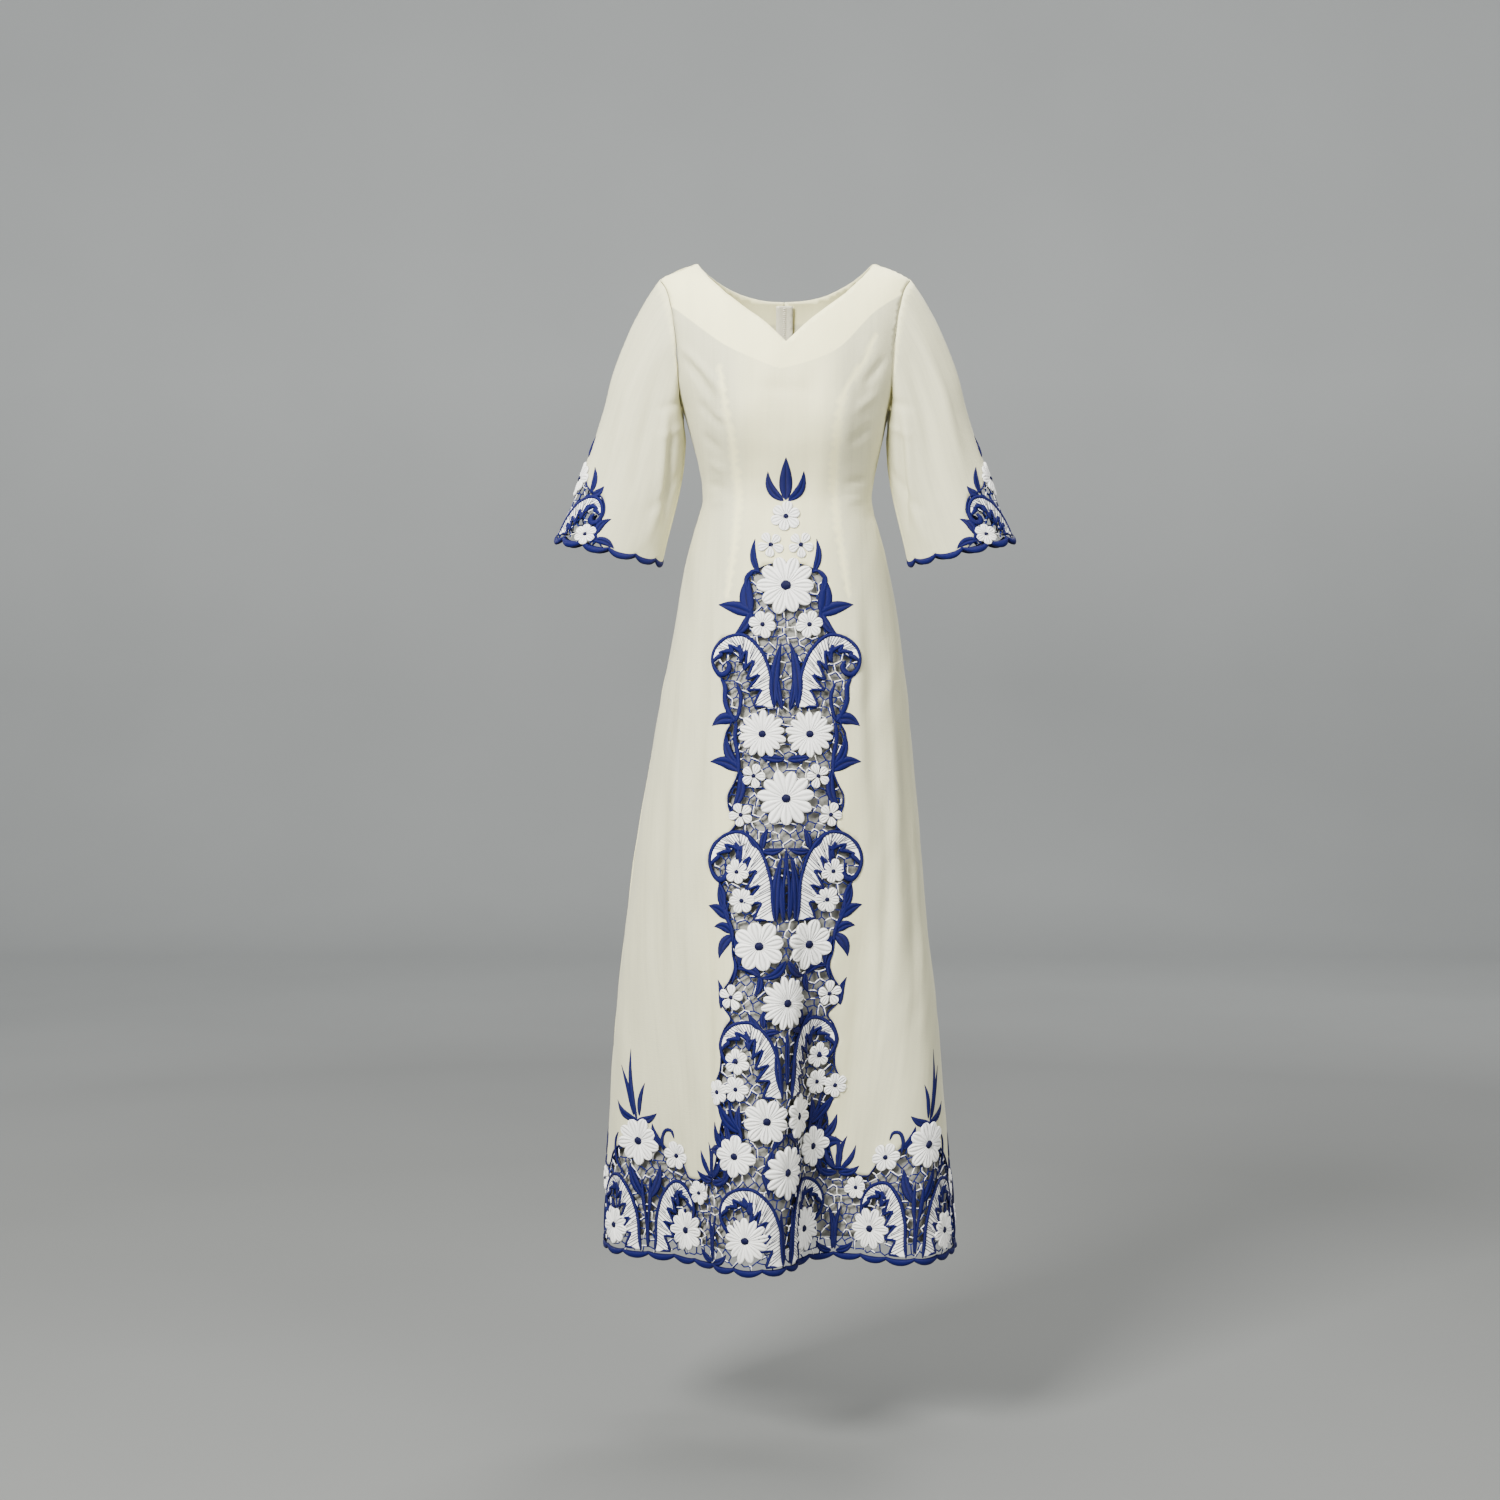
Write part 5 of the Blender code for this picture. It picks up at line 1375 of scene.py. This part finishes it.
def add_scalloped_edge(bag, ends, pitch, depth, edge, inward):
    """The thick blue scalloped edge, a crescent for each scallop. inward is the way to the cloth, 1 or -1."""
    first, last = ends
    start = int(math.floor(first / pitch + 1e-6))
    stop = int(math.ceil(last / pitch - 1e-6))
    for k in range(start, stop):
        at = np.unique(np.round(np.clip((k + np.linspace(0.0, 1.0, 17)) * pitch, first, last), 7))
        if len(at) < 3:
            continue
        part = np.clip(at / pitch - k, 0.0, 1.0)
        low = scallop(part, depth)
        wide = 0.0050 + 0.0046 * (1 - np.abs(2 * part - 1) ** 2)
        outer = np.stack([at, edge + inward * low], axis=1)
        inner = np.stack([at, edge + inward * (low + wide)], axis=1)
        lefts, rights = (outer, inner) if inward < 0 else (inner, outer)
        bag.strip(lefts, rights, 0.0036 * (0.70 + 0.30 * np.sin(math.pi * part)), ROUND, NET_BASE)


class Motifs:
    """The embroidery of one part of the dress: five bags of stitching, a bag of grey strips that paint the
    shadow in the plumes' hatch slits, and where its flowers lie.
    """

    def __init__(self):
        self.white, self.blue, self.eyes = Stitches(), Stitches(), Stitches()
        self.hatching, self.white_bars, self.blue_bars = Stitches(), Stitches(), Stitches()
        self.covered = []

    def make(self, part, place, turned=False):
        kinds = (
            (self.white, "white_motifs", WHITE),
            (self.blue, "blue_motifs", BLUE),
            (self.eyes, "flower_eyes", DEEP),
            (self.hatching, "hatching", SLIT_SHADOW),
            (self.white_bars, "white_bars", PLAIN_WHITE),
            (self.blue_bars, "blue_bars", NET),
        )
        return [bag.make(f"{part}_{kind}", place, material, turned) for bag, kind, material in kinds]


# Outlines on the body


def side_line(back, first, last):
    """The side seam from one level to another."""
    levels = np.linspace(first, last, max(2, int((last - first) / 0.03)))
    return [(float(side_reach(v, back)) - SEAM / 2, float(v)) for v in levels]


def armhole_line(back):
    """The armhole's edge from the shoulder to the underarm."""
    between = [0.022, 0.030, 0.044, 0.066, 0.094, 0.123, 0.150, 0.172, 0.195]
    drops = np.sort([row[0] for row in ARMHOLE_ROWS] + between)
    inward = table_curve(drops, ARMHOLE_ROWS, 2 if back else 1)
    v = v_of(drops)
    return list(zip(side_reach(v, back) - inward - SEAM / 2, v))


def round_at(across, v, back):
    """Distance round the body at which its ring reaches a place across."""
    reach = float(side_reach(v, back))
    tries = np.linspace(-reach, reach, 241)
    level = np.full(len(tries), v)
    rings = -back_point(tries, level)[:, 0] if back else body_point(tries, level)[:, 0]
    return float(np.interp(across, rings, tries))


def neck_line(back):
    """The neckline from its middle to the shoulder seam."""
    rows = NECK_ROWS[:-1]
    if back:
        parts = (0.0, 0.1, 0.2, 0.3, 0.4, 0.5, 0.6, 0.7, 0.78, 0.86, 0.92, 0.97)
        rows = [(part * NECK_HALF, BACK_NECK_DROP * (1 - part ** 2.4)) for part in parts]
    levels = [float(v_of(drop)) for _, drop in rows]
    return [(round_at(row[0], v, back), v) for row, v in zip(rows, levels)]


def shoulder_line(back):
    """The shoulder seam from the neck point to the armhole."""
    levels = [v for v in (0.0, 0.010, 0.022, 0.034) if v < TIP_V - 0.004]
    return [(float(side_reach(v, back)) - SEAM / 2, v) for v in levels]


def border_top(offset):
    """Drop of the border openwork's upper edge at a distance from a repeat's middle."""
    half = REPEAT / 2
    near = np.abs((np.asarray(offset) + half) % REPEAT - half) / half
    return table_curve(near, BORDER_EDGE)


def front_edge():
    """Edge of the openwork on the right half of the front, from the centre line to the side seam."""
    strip = smoothed(STRIP_EDGE, EDGE_STEP)
    corner = float(side_round(v_of(BORDER_SIDE_DROP)))
    offsets = np.arange(REPEAT / 2 - EDGE_STEP, corner, EDGE_STEP)
    border = np.stack([offsets, border_top(offsets)], axis=1)
    border = border[border[:, 0] > strip[-1, 0] + 0.002]
    return np.vstack((strip, border, [(corner, float(border_top(corner)))]))


FRONT_EDGE = front_edge()


def on_cloth(line):
    """Distance and drop to distance and v."""
    return [(float(a), float(v_of(b))) for a, b in line]


def room_in_border(points, away, back):
    """The least of away, the room above the openwork's end and the room beside the side seam."""
    side = side_reach(v_of(points[:, 1]), back) - np.abs(points[:, 0]) - SIDE_GAP
    return np.minimum(np.minimum(away, OPENWORK_END - points[:, 1]), side)


def front_room(points):
    """Room inside the front openwork, in distance and drop."""
    loop = [*map(tuple, FRONT_EDGE), (float(FRONT_EDGE[-1][0]), HEM_DROP)]
    loop = [*mirrored(loop), *loop[1:]]
    away = far_from_line(points, [*mirrored(FRONT_EDGE), *map(tuple, FRONT_EDGE[1:])])
    return room_in_border(points, np.where(inside(points, loop), away, -away), False)


def back_room(sign):
    """Gives the same function for one half of the back."""
    def room(points):
        away = room_in_border(points, points[:, 1] - border_top(points[:, 0]), True)
        return np.minimum(away, sign * points[:, 0] - 0.0010)

    return room


# Cloth


def side_paint(flat, drop, back):
    """The turned-in cloth beside the side seam, below the armhole."""
    side = side_reach(flat[:, 1], back) - np.abs(flat[:, 0])
    return 0.5 * within(side, ALLOWANCE) * (drop > 0.2)


def front_paint(flat):
    """Where two layers lie on the front: the neck facing, the darts and the seams. Down its middle it also
    paints light, so that the sides look shaded.
    """
    u, drop = flat[:, 0], drop_of(flat[:, 1])
    below = drop - table_curve(u, FACING_ROWS)
    total = 1.0 - ease((below + 0.0009) / 0.0018)
    points = np.stack([u, drop], axis=1)
    for dart, side in ((LEFT_DART, -1), (RIGHT_DART, 1)):
        line = np.array(dart)
        top, bottom = line[0, 1], line[-1, 1]
        off = (u - np.interp(drop, line[:, 1], line[:, 0])) * -side
        share = np.clip((drop - top) / (bottom - top), 0, 1)
        wide = DART_WIDTH * np.sin(math.pi * share) ** 0.5
        band = ease((off + 0.001) / 0.002) * within(off + 0.001, wide)
        total = np.maximum(total, 0.85 * band * (drop > top) * (drop < bottom))
        total = np.maximum(total, 0.9 * np.exp(-(far_from_line(points, dart) / 0.0016) ** 2))
    total = np.maximum(total, side_paint(flat, drop, False))
    # Painted light down the middle of the front, widening and fading lower down, which leaves the sides
    # shaded
    middle = 1 - ease((np.abs(u) - 0.040 - 0.06 * ease((drop - 0.45) / 0.5)) / 0.045)
    total = np.maximum(total, middle * (0.50 - 0.25 * ease((drop - 0.5) / 0.5)))
    return np.clip(total, 0, 1)


def back_paint(flat):
    """Where two layers lie on the back: the seams, the darts and the neck edge."""
    w, drop = np.abs(flat[:, 0]), drop_of(flat[:, 1])
    total = np.maximum(0.5 * within(w, CENTRE_ALLOWANCE), side_paint(flat, drop, True))
    points = np.stack([flat[:, 0], drop], axis=1)
    for dart in BACK_DARTS:
        total = np.maximum(total, 0.8 * np.exp(-(far_from_line(points, dart) / 0.003) ** 2))
    neck = drop - BACK_NECK_DROP * (1 - np.clip(w / 0.135, 0, 1) ** 2.4)
    return np.maximum(total, 0.7 * within(neck, BACK_NECK_WIDTH))


def make_front():
    """The front, cut to the edge of its openwork."""
    edge = on_cloth(FRONT_EDGE)
    corner_v = edge[-1][1]
    side = side_line(False, UNDERARM_V, corner_v)[1:-1]
    right = [*neck_line(False), *shoulder_line(False), *armhole_line(False), *side]
    corner = (float(side_round(corner_v)) - SEAM / 2, corner_v)
    lower = [corner, *reversed(edge[1:-1])]
    outline = [*right, *lower, edge[0], *mirrored([*right[1:], *lower])]
    facing = smoothed(on_cloth([row for row in FACING_ROWS if abs(row[0]) < 0.16]), EDGE_STEP)
    marks = [facing, on_cloth(LEFT_DART), on_cloth(RIGHT_DART)]
    return cloth_piece("front_cloth", outline, front_place, CLOTH, DRESS_HEIGHTS, front_paint, marks=marks)


def make_backs():
    """The two halves of the back, cut to the edge of the border's openwork."""
    corner_v = float(v_of(border_top(3 * REPEAT / 2)))
    side = side_line(True, UNDERARM_V, corner_v)[1:]
    offsets = np.arange(SEAM / 2, side[-1][0], EDGE_STEP)
    top = on_cloth((a, border_top(a)) for a in offsets)
    if side[-1][0] - top[-1][0] < 0.002:
        top = top[:-1]
    neck = [(SEAM / 2, float(v_of(BACK_NECK_DROP))), *neck_line(True)[1:]]
    half = [*neck, *shoulder_line(True), *armhole_line(True), *side, *reversed(top)]
    return [cloth_piece(name, outline, back_place, CLOTH, DRESS_HEIGHTS, back_paint)
            for name, outline in (("back_right_cloth", half), ("back_left_cloth", mirrored(half)))]


def make_lining(name, back):
    """The skirt lining of one side, which hangs a little inside the dress. The back's is slit for the zip."""
    top_v, low_v = float(v_of(LINING_TOP)), float(v_of(LINING_END))
    right = [(a - 0.003, v) for a, v in side_line(back, top_v, low_v)]
    slot = []
    if back:
        slot = [(0.013, top_v), (0.013, float(v_of(ZIP_END))), (0.0, float(v_of(ZIP_SLOT_END)))]
        slot = [*[(-a, v) for a, v in slot[:2]], slot[2], *reversed(slot[:2])]

    def place(flat, lift):
        hang = 0.0008 + 0.0048 * ease((flat[:, 1] - top_v) / 0.20)
        ripple = 0.0006 * np.sin(flat[:, 0] * 70 + 2.0 * np.sin(flat[:, 1] * 9))
        return lifted(back_point if back else body_point, flat[:, 0], flat[:, 1], lift - hang + ripple)

    return cloth_piece(name, [*mirrored(right), *slot, *right], place, LINING, LINING_HEIGHTS,
                       step=0.0085, turned=True)


def make_facing():
    """The front neck facing, inside the neckline."""
    neck = neck_line(False)
    at = np.linspace(-0.150, 0.150, 41)
    low = on_cloth((a, table_curve(a, FACING_ROWS) - 0.003) for a in at)
    shoulder = [(float(side_round(v)) - 0.008, v) for v in (0.006, 0.016, 0.026)]
    top = [(a, v + 0.0012) for a, v in neck[:-1]]
    outline = [*top, *shoulder, *reversed(low), *mirrored(shoulder), *mirrored(top)[:-1]]
    line = [*mirrored(neck), *neck[1:]]

    def place(flat, lift):
        hang = 0.0003 + 0.0010 * ease(far_from_line(flat, line) / 0.015)
        return lifted(body_point, flat[:, 0], flat[:, 1], lift - hang)

    return cloth_piece("facing_cloth", outline, place, FACING, FACING_HEIGHTS, step=0.006)


def make_zip():
    """The closed concealed zip behind the centre back seam: its tape and its row of teeth."""
    half, behind = 0.0118, 0.0012
    first, last = float(v_of(BACK_NECK_DROP)) + 0.004, float(v_of(ZIP_END))
    levels = np.linspace(first, last, 60)
    outline = [*((-half, v) for v in reversed(levels)), *((half, v) for v in levels)]

    def place(flat, lift):
        return lifted(back_point, flat[:, 0], flat[:, 1], lift - behind - 0.0010 * np.abs(flat[:, 0]) / 0.012)

    def inward(flat, lift):
        return lifted(back_point, flat[:, 0], flat[:, 1], -behind - lift)

    tape = cloth_piece("zip_tape_cloth", outline, place, TAPE, TAPE_HEIGHTS, step=0.006)
    teeth = Stitches()
    for k, v in enumerate(np.arange(first + 0.004, last - 0.004, 0.0030)):
        side = 0.0004 if k % 2 else -0.0004
        teeth.line([(-0.0020 + side, v), (0.0, v), (0.0020 + side, v)], 0.0007, 0.0009, THIN, 0.0)
    return tape, teeth.make("zip_teeth", inward, TOOTH, True)


SLEEVE_SEAM = SLEEVE_ROUND - SEAM / 2
CUFF_PITCH = SLEEVE_ROUND / CUFF_SCALLOPS_EACH_HALF


def sleeve_paint(flat):
    """Where two layers lie on a sleeve: beside the underarm seam and the armhole seam."""
    away = SLEEVE_ROUND - np.abs(flat[:, 0])
    top = sleeve_length(np.abs(flat[:, 0]) / SLEEVE_ROUND) - flat[:, 1]
    return np.maximum(0.5 * within(away, ALLOWANCE), 0.4 * within(top, ARMHOLE_ALLOWANCE))


def make_sleeve(name, sign):
    """A sleeve's cloth, open along the underarm seam, cut to the openwork's edge and the scalloped cuff."""
    low = [*np.arange(0.100, SLEEVE_SEAM, 0.0028), SLEEVE_SEAM]
    high = np.linspace(0, SLEEVE_SEAM, 40)
    cuff = [(float(a), 0.0035 + float(scallop(a / CUFF_PITCH % 1.0, CUFF_SCALLOP_DEPTH))) for a in low]
    cap = [(float(a), float(sleeve_length(a / SLEEVE_ROUND)) - 0.0002) for a in high]
    under = [(SLEEVE_SEAM, float(h)) for h in np.linspace(cuff[-1][1], cap[-1][1], 40)[1:-1]]
    right = [*map(tuple, smoothed(SLEEVE_EDGE)), *cuff, *under, *reversed(cap)]
    outline = [*right, *mirrored(right)[1:-1]]
    return cloth_piece(name, outline, sleeve_place(sign), CLOTH, DRESS_HEIGHTS, sleeve_paint,
                       step=0.0058, turned=sign > 0)


# Embroidery of each part


def drop_place(place):
    """The same place with drops in the flat's second column."""
    return lambda flat, lift: place(np.stack([flat[:, 0], v_of(flat[:, 1])], axis=1), lift)


def sides_of(*across):
    """One side for a motif on the centre line, and both sides for any other."""
    return (-1, 1) if any(across) else (1,)


def add_on_both_sides(add, motifs, rows):
    for row in rows:
        for sign in (-1, 1):
            add(motifs, row, sign)


def leaf_room(keep, row, sign, middle):
    """Whether keep allows a leaf: its middle, and its reach to each side."""
    a0, _, a1, _, half, _ = row
    return keep(middle + sign * (a0 + a1) / 2, abs(a1 - a0) / 2 + half)


def add_border(motifs, middles, keep):
    """Border motifs round the given middles, where keep allows them."""
    for middle in middles:
        out = -1 if middle < 0 else 1
        for across, drop, radius, petals in BORDER_FLOWERS:
            centre = (middle + out * across, drop)
            if keep(centre[0], radius):
                add_flower(motifs, centre, radius, petals, 0.2 * out + 0.5 * middle)
        for row in SPRIG_LEAVES:
            if middle and leaf_room(keep, row, out, middle):
                add_leaf(motifs, row, out, middle)
        for row in SPRIG_STEMS:
            if middle and keep(middle + out * row[3][0], 0.008):
                add_stem(motifs, row, out, middle)
        add_leaves(motifs, BORDER_LEAVES, middle, keep)
        for row in BORDER_STEMS:
            for sign in (-1, 1):
                if all(keep(middle + sign * row[end][0], 0.004) for end in (-1, 1)):
                    add_stem(motifs, row, sign, middle)
        for row in BORDER_PLUMES:
            for sign in (-1, 1):
                if keep(middle + sign * (row[0] + row[3]) / 2, (row[3] - row[0]) / 2 + 0.002):
                    add_plume_row(motifs, row, sign, middle)


def add_leaves(motifs, rows, middle, keep):
    """Leaves on both sides of a middle, where keep allows them."""
    for row in rows:
        for sign in (-1, 1):
            if leaf_room(keep, row, sign, middle):
                add_leaf(motifs, row, sign, middle)


def add_hem(motifs, ends, room, first_drop, seed):
    """The scalloped hem from one end to the other, and the net above it."""
    add_scalloped_edge(motifs.blue, ends, PITCH, SCALLOP_DEPTH, HEM_DROP, -1)
    add_net(motifs, room, ((ends[0], first_drop), (ends[1], NET_END)), NET_PITCH, seed)


def make_front_embroidery():
    motifs = Motifs()
    for k, (across, drop, radius, petals) in enumerate(STRIP_FLOWERS):
        for sign in sides_of(across):
            add_flower(motifs, (sign * across, drop), radius, petals, sign * (0.15 + 0.4 * k))
    for row in STRIP_LEAVES:
        for sign in sides_of(row[0], row[2]):
            add_leaf(motifs, row, sign)
    add_on_both_sides(add_stem, motifs, STRIP_STEMS)
    add_on_both_sides(add_plume_row, motifs, STRIP_PLUMES)

    def keep(a, reach):
        return abs(a) + reach < float(side_round(v_of(MOTIF_LIMIT_DROP))) - 0.001

    add_border(motifs, (-REPEAT, REPEAT), keep)
    for line in (-1.5, -0.5, 0.5, 1.5):
        add_leaves(motifs, MEETING_LEAVES, line * REPEAT, keep)
    limit = float(side_round(v_of(CORD_END_DROP))) - 0.001
    for sign in (-1, 1):
        edge = [(sign * a, b) for a, b in FRONT_EDGE if a < limit and b > CORD_START_DROP]
        add_cord(motifs.blue, dense(edge, 0.0035), 0.00125, EDGE_CORD_RISE)
    corner = float(side_round(HEM_V)) - SEAM / 2
    add_hem(motifs, (-corner, corner), front_room, 0.36, 5)
    return motifs.make("front", drop_place(front_place))


def make_back_embroidery(side, sign):
    motifs = Motifs()

    def keep(a, reach):
        limit = float(side_reach(v_of(MOTIF_LIMIT_DROP), True)) - 0.001
        return sign * a - reach > 0.0006 and sign * a + reach < limit

    add_border(motifs, (0.0, sign * REPEAT), keep)
    for across, drop, radius, petals in SEAM_FLOWERS:
        add_flower(motifs, (sign * across, drop), radius, petals, 0.3 * sign)
    for row in SEAM_LEAVES:
        add_leaf(motifs, row, sign)
    for line in (0.5, 1.5):
        add_leaves(motifs, MEETING_LEAVES, sign * line * REPEAT, keep)
    reach = float(side_reach(v_of(CORD_END_DROP), True)) - 0.002
    offsets = np.arange(0.0014, reach, 0.0035) * sign
    add_cord(motifs.blue, np.stack([offsets, border_top(offsets)], axis=1), 0.00115, EDGE_CORD_RISE)
    corner = float(side_reach(HEM_V, True)) - SEAM / 2
    add_hem(motifs, sorted((sign * SEAM / 2, sign * corner)), back_room(sign), 1.16, 6)
    return motifs.make(f"back_{side}", drop_place(back_place))


def sleeve_room(points):
    """Room inside a sleeve's openwork. Its edge is taken without the row that turns back."""
    s, h = np.abs(points[:, 0]), points[:, 1]
    rows = np.array([*SLEEVE_EDGE[:6], *SLEEVE_EDGE[7:]])
    top = np.interp(s, rows[:, 0], rows[:, 1], right=0.0)
    return np.minimum(top - h, h - 0.0125)


def make_sleeve_embroidery(side, sleeve):
    motifs = Motifs()
    for across, h, radius, petals in SLEEVE_FLOWERS:
        add_flower(motifs, (across, h), radius, petals, math.pi + 3 * across)
    add_on_both_sides(add_leaf, motifs, SLEEVE_LEAVES)
    for sign in (-1, 1):
        add_plume(motifs, smoothed(placed(SLEEVE_PLUME, sign), PLUME_STEP), 0.026, 7, -sign)
        for row in SLEEVE_STEMS:
            add_stem(motifs, row, sign)
        add_cord(motifs.blue, smoothed(placed(SLEEVE_EDGE, sign)), 0.0012, EDGE_CORD_RISE)
    add_scalloped_edge(motifs.blue, (-SLEEVE_SEAM, SLEEVE_SEAM), CUFF_PITCH, CUFF_SCALLOP_DEPTH, 0.0, 1)
    add_net(motifs, sleeve_room, ((-0.10, 0.008), (0.10, 0.11)), SLEEVE_NET_PITCH, 7)
    return motifs.make(f"sleeve_{side}", sleeve_place(sleeve), sleeve > 0)


# The room, the light and the camera


FLOOR_HALF = 9.0
FLOOR_FRONT = -6.0
FLOOR_LEVEL = -1.612
WALL_TOP = 6.0
TURN_START = 5.2
TURN_RADIUS = 1.6

# Lamps: name, place, point that it faces, size, power, colour
LAMPS = (
    ("key", (-1.6, -2.6, 1.5), (0, 0, -0.15), (1.1, 1.3), 430, (1.0, 0.995, 0.94)),
    ("fill", (2.4, -2.5, 0.6), (0, 0, -0.4), (1.6, 2.0), 96, (1.0, 0.995, 0.94)),
    ("top", (0.0, 0.2, 2.0), (0, 0, -0.4), (2.0, 1.4), 80, (1.0, 0.995, 0.95)),
    ("behind", (1.5, 3.2, 2.5), (0, 0, -0.5), (1.8, 1.4), 170, (1.0, 0.995, 0.95)),
    ("behind_low", (-2.6, 2.6, 0.4), (0, 0, -0.7), (1.4, 1.6), 40, (1.0, 0.995, 0.95)),
)
CAMERA_PLACE = (-0.048, -4.1, -0.426)
CAMERA_TILT = 90.0 - 3.3
LENS = 71.6


def floor_look():
    """A pale floor with painted shade: darker low down, and darker near the dress, where the lamps light it
    most.
    """
    look = Look("pale_floor", 0.85)
    patch = look.noise(look.space(), 1.5, 2.0)
    ground = look.ramp(patch, (0.3, linear(196, 199, 200)), (0.7, linear(200, 203, 204)))
    place = look.node("ShaderNodeSeparateXYZ", {"Vector": look.space()}).outputs
    # Painted shade, darker low down
    rise = look.combine("ADD", look.combine("MULTIPLY", place["Z"], 0.5), 0.85)
    shade_low_down = look.ramp(rise, (0.05, (0.66, 0.66, 0.66)), (0.45, (0.72, 0.72, 0.72)), (1.0, WHOLE))
    # Painted shade, darker near the dress where the lamps are close
    squares = [look.combine("MULTIPLY", place[axis], place[axis]) for axis in "XY"]
    away = look.combine("POWER", look.combine("ADD", *squares), 0.5)
    depth = look.ramp(look.combine("MULTIPLY", away, 0.125), (0.25, (0.33, 0.33, 0.325)),
                      (0.40, (0.41, 0.41, 0.41)), (0.58, (0.78, 0.78, 0.78)), (0.74, WHOLE))
    look.colour(look.mix("MULTIPLY", 1.0, look.mix("MULTIPLY", 1.0, ground, shade_low_down), depth))
    return look.material


def make_stage():
    """A floor that turns up into a wall behind the dress."""
    steps = [(FLOOR_FRONT, FLOOR_LEVEL)]
    for k in range(13):
        angle = math.pi / 2 * k / 12
        rise = TURN_RADIUS * (1 - math.cos(angle))
        steps.append((TURN_START + TURN_RADIUS * math.sin(angle), FLOOR_LEVEL + rise))
    steps.append((TURN_START + TURN_RADIUS, WALL_TOP))
    points = [(x, y, z) for y, z in steps for x in (-FLOOR_HALF, FLOOR_HALF)]
    faces = [(2 * k, 2 * k + 1, 2 * k + 3, 2 * k + 2) for k in range(len(steps) - 1)]
    mesh = bpy.data.meshes.new("floor")
    mesh.from_pydata(points, [], faces)
    mesh.polygons.foreach_set("use_smooth", [True] * len(faces))
    mesh.materials.append(floor_look())
    show("floor", mesh)


def make_light_and_camera():
    world = bpy.data.worlds.new("studio")
    world.use_nodes = True
    background = world.node_tree.nodes["Background"].inputs
    background["Color"].default_value = (0.90, 0.92, 0.95, 1.0)
    background["Strength"].default_value = 0.37
    bpy.context.scene.world = world
    for name, place, aim, size, power, colour in LAMPS:
        data = bpy.data.lights.new(name, "AREA")
        data.shape = "RECTANGLE"
        data.size, data.size_y = size
        data.energy = power
        data.color = colour
        lamp = show(name, data)
        lamp.location = place
        lamp.rotation_euler = (Vector(aim) - Vector(place)).to_track_quat("-Z", "Y").to_euler()
    data = bpy.data.cameras.new("camera")
    data.lens = LENS
    data.sensor_width = 36.0
    camera = show("camera", data)
    camera.location = CAMERA_PLACE
    camera.rotation_euler = (math.radians(CAMERA_TILT), 0.0, 0.0)
    bpy.context.scene.camera = camera


def declare(nodes):
    """Hides the solids that a cloth piece stands for."""
    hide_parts(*nodes)


def main():
    sides = ("right", "left")
    make_stage()
    make_light_and_camera()
    front = make_front()
    backs = make_backs()
    lining_front = make_lining("lining_front_cloth", False)
    lining_back = make_lining("lining_back_cloth", True)
    facing = make_facing()
    tape, teeth = make_zip()
    sleeves = [make_sleeve(f"sleeve_{side}_cloth", sign) for side, sign in zip(sides, (-1, 1))]
    front_parts = make_front_embroidery()
    back_parts = [make_back_embroidery(side, sign) for side, sign in zip(sides, (1, -1))]
    sleeve_parts = [make_sleeve_embroidery(side, sign) for side, sign in zip(sides, (-1, 1))]
    declare(["front"])
    for side, cloth, parts in zip(sides, backs, back_parts):
        declare([f"back_{side}"])
    for side, cloth, parts in zip(sides, sleeves, sleeve_parts):
        nodes = [f"sleeve_{side}_front", f"sleeve_{side}_back"]
        declare(nodes)
    declare(["lining_front"])
    declare(["lining_back"])
    declare(["neck_facing"])
    declare(["back_zip"])


main()
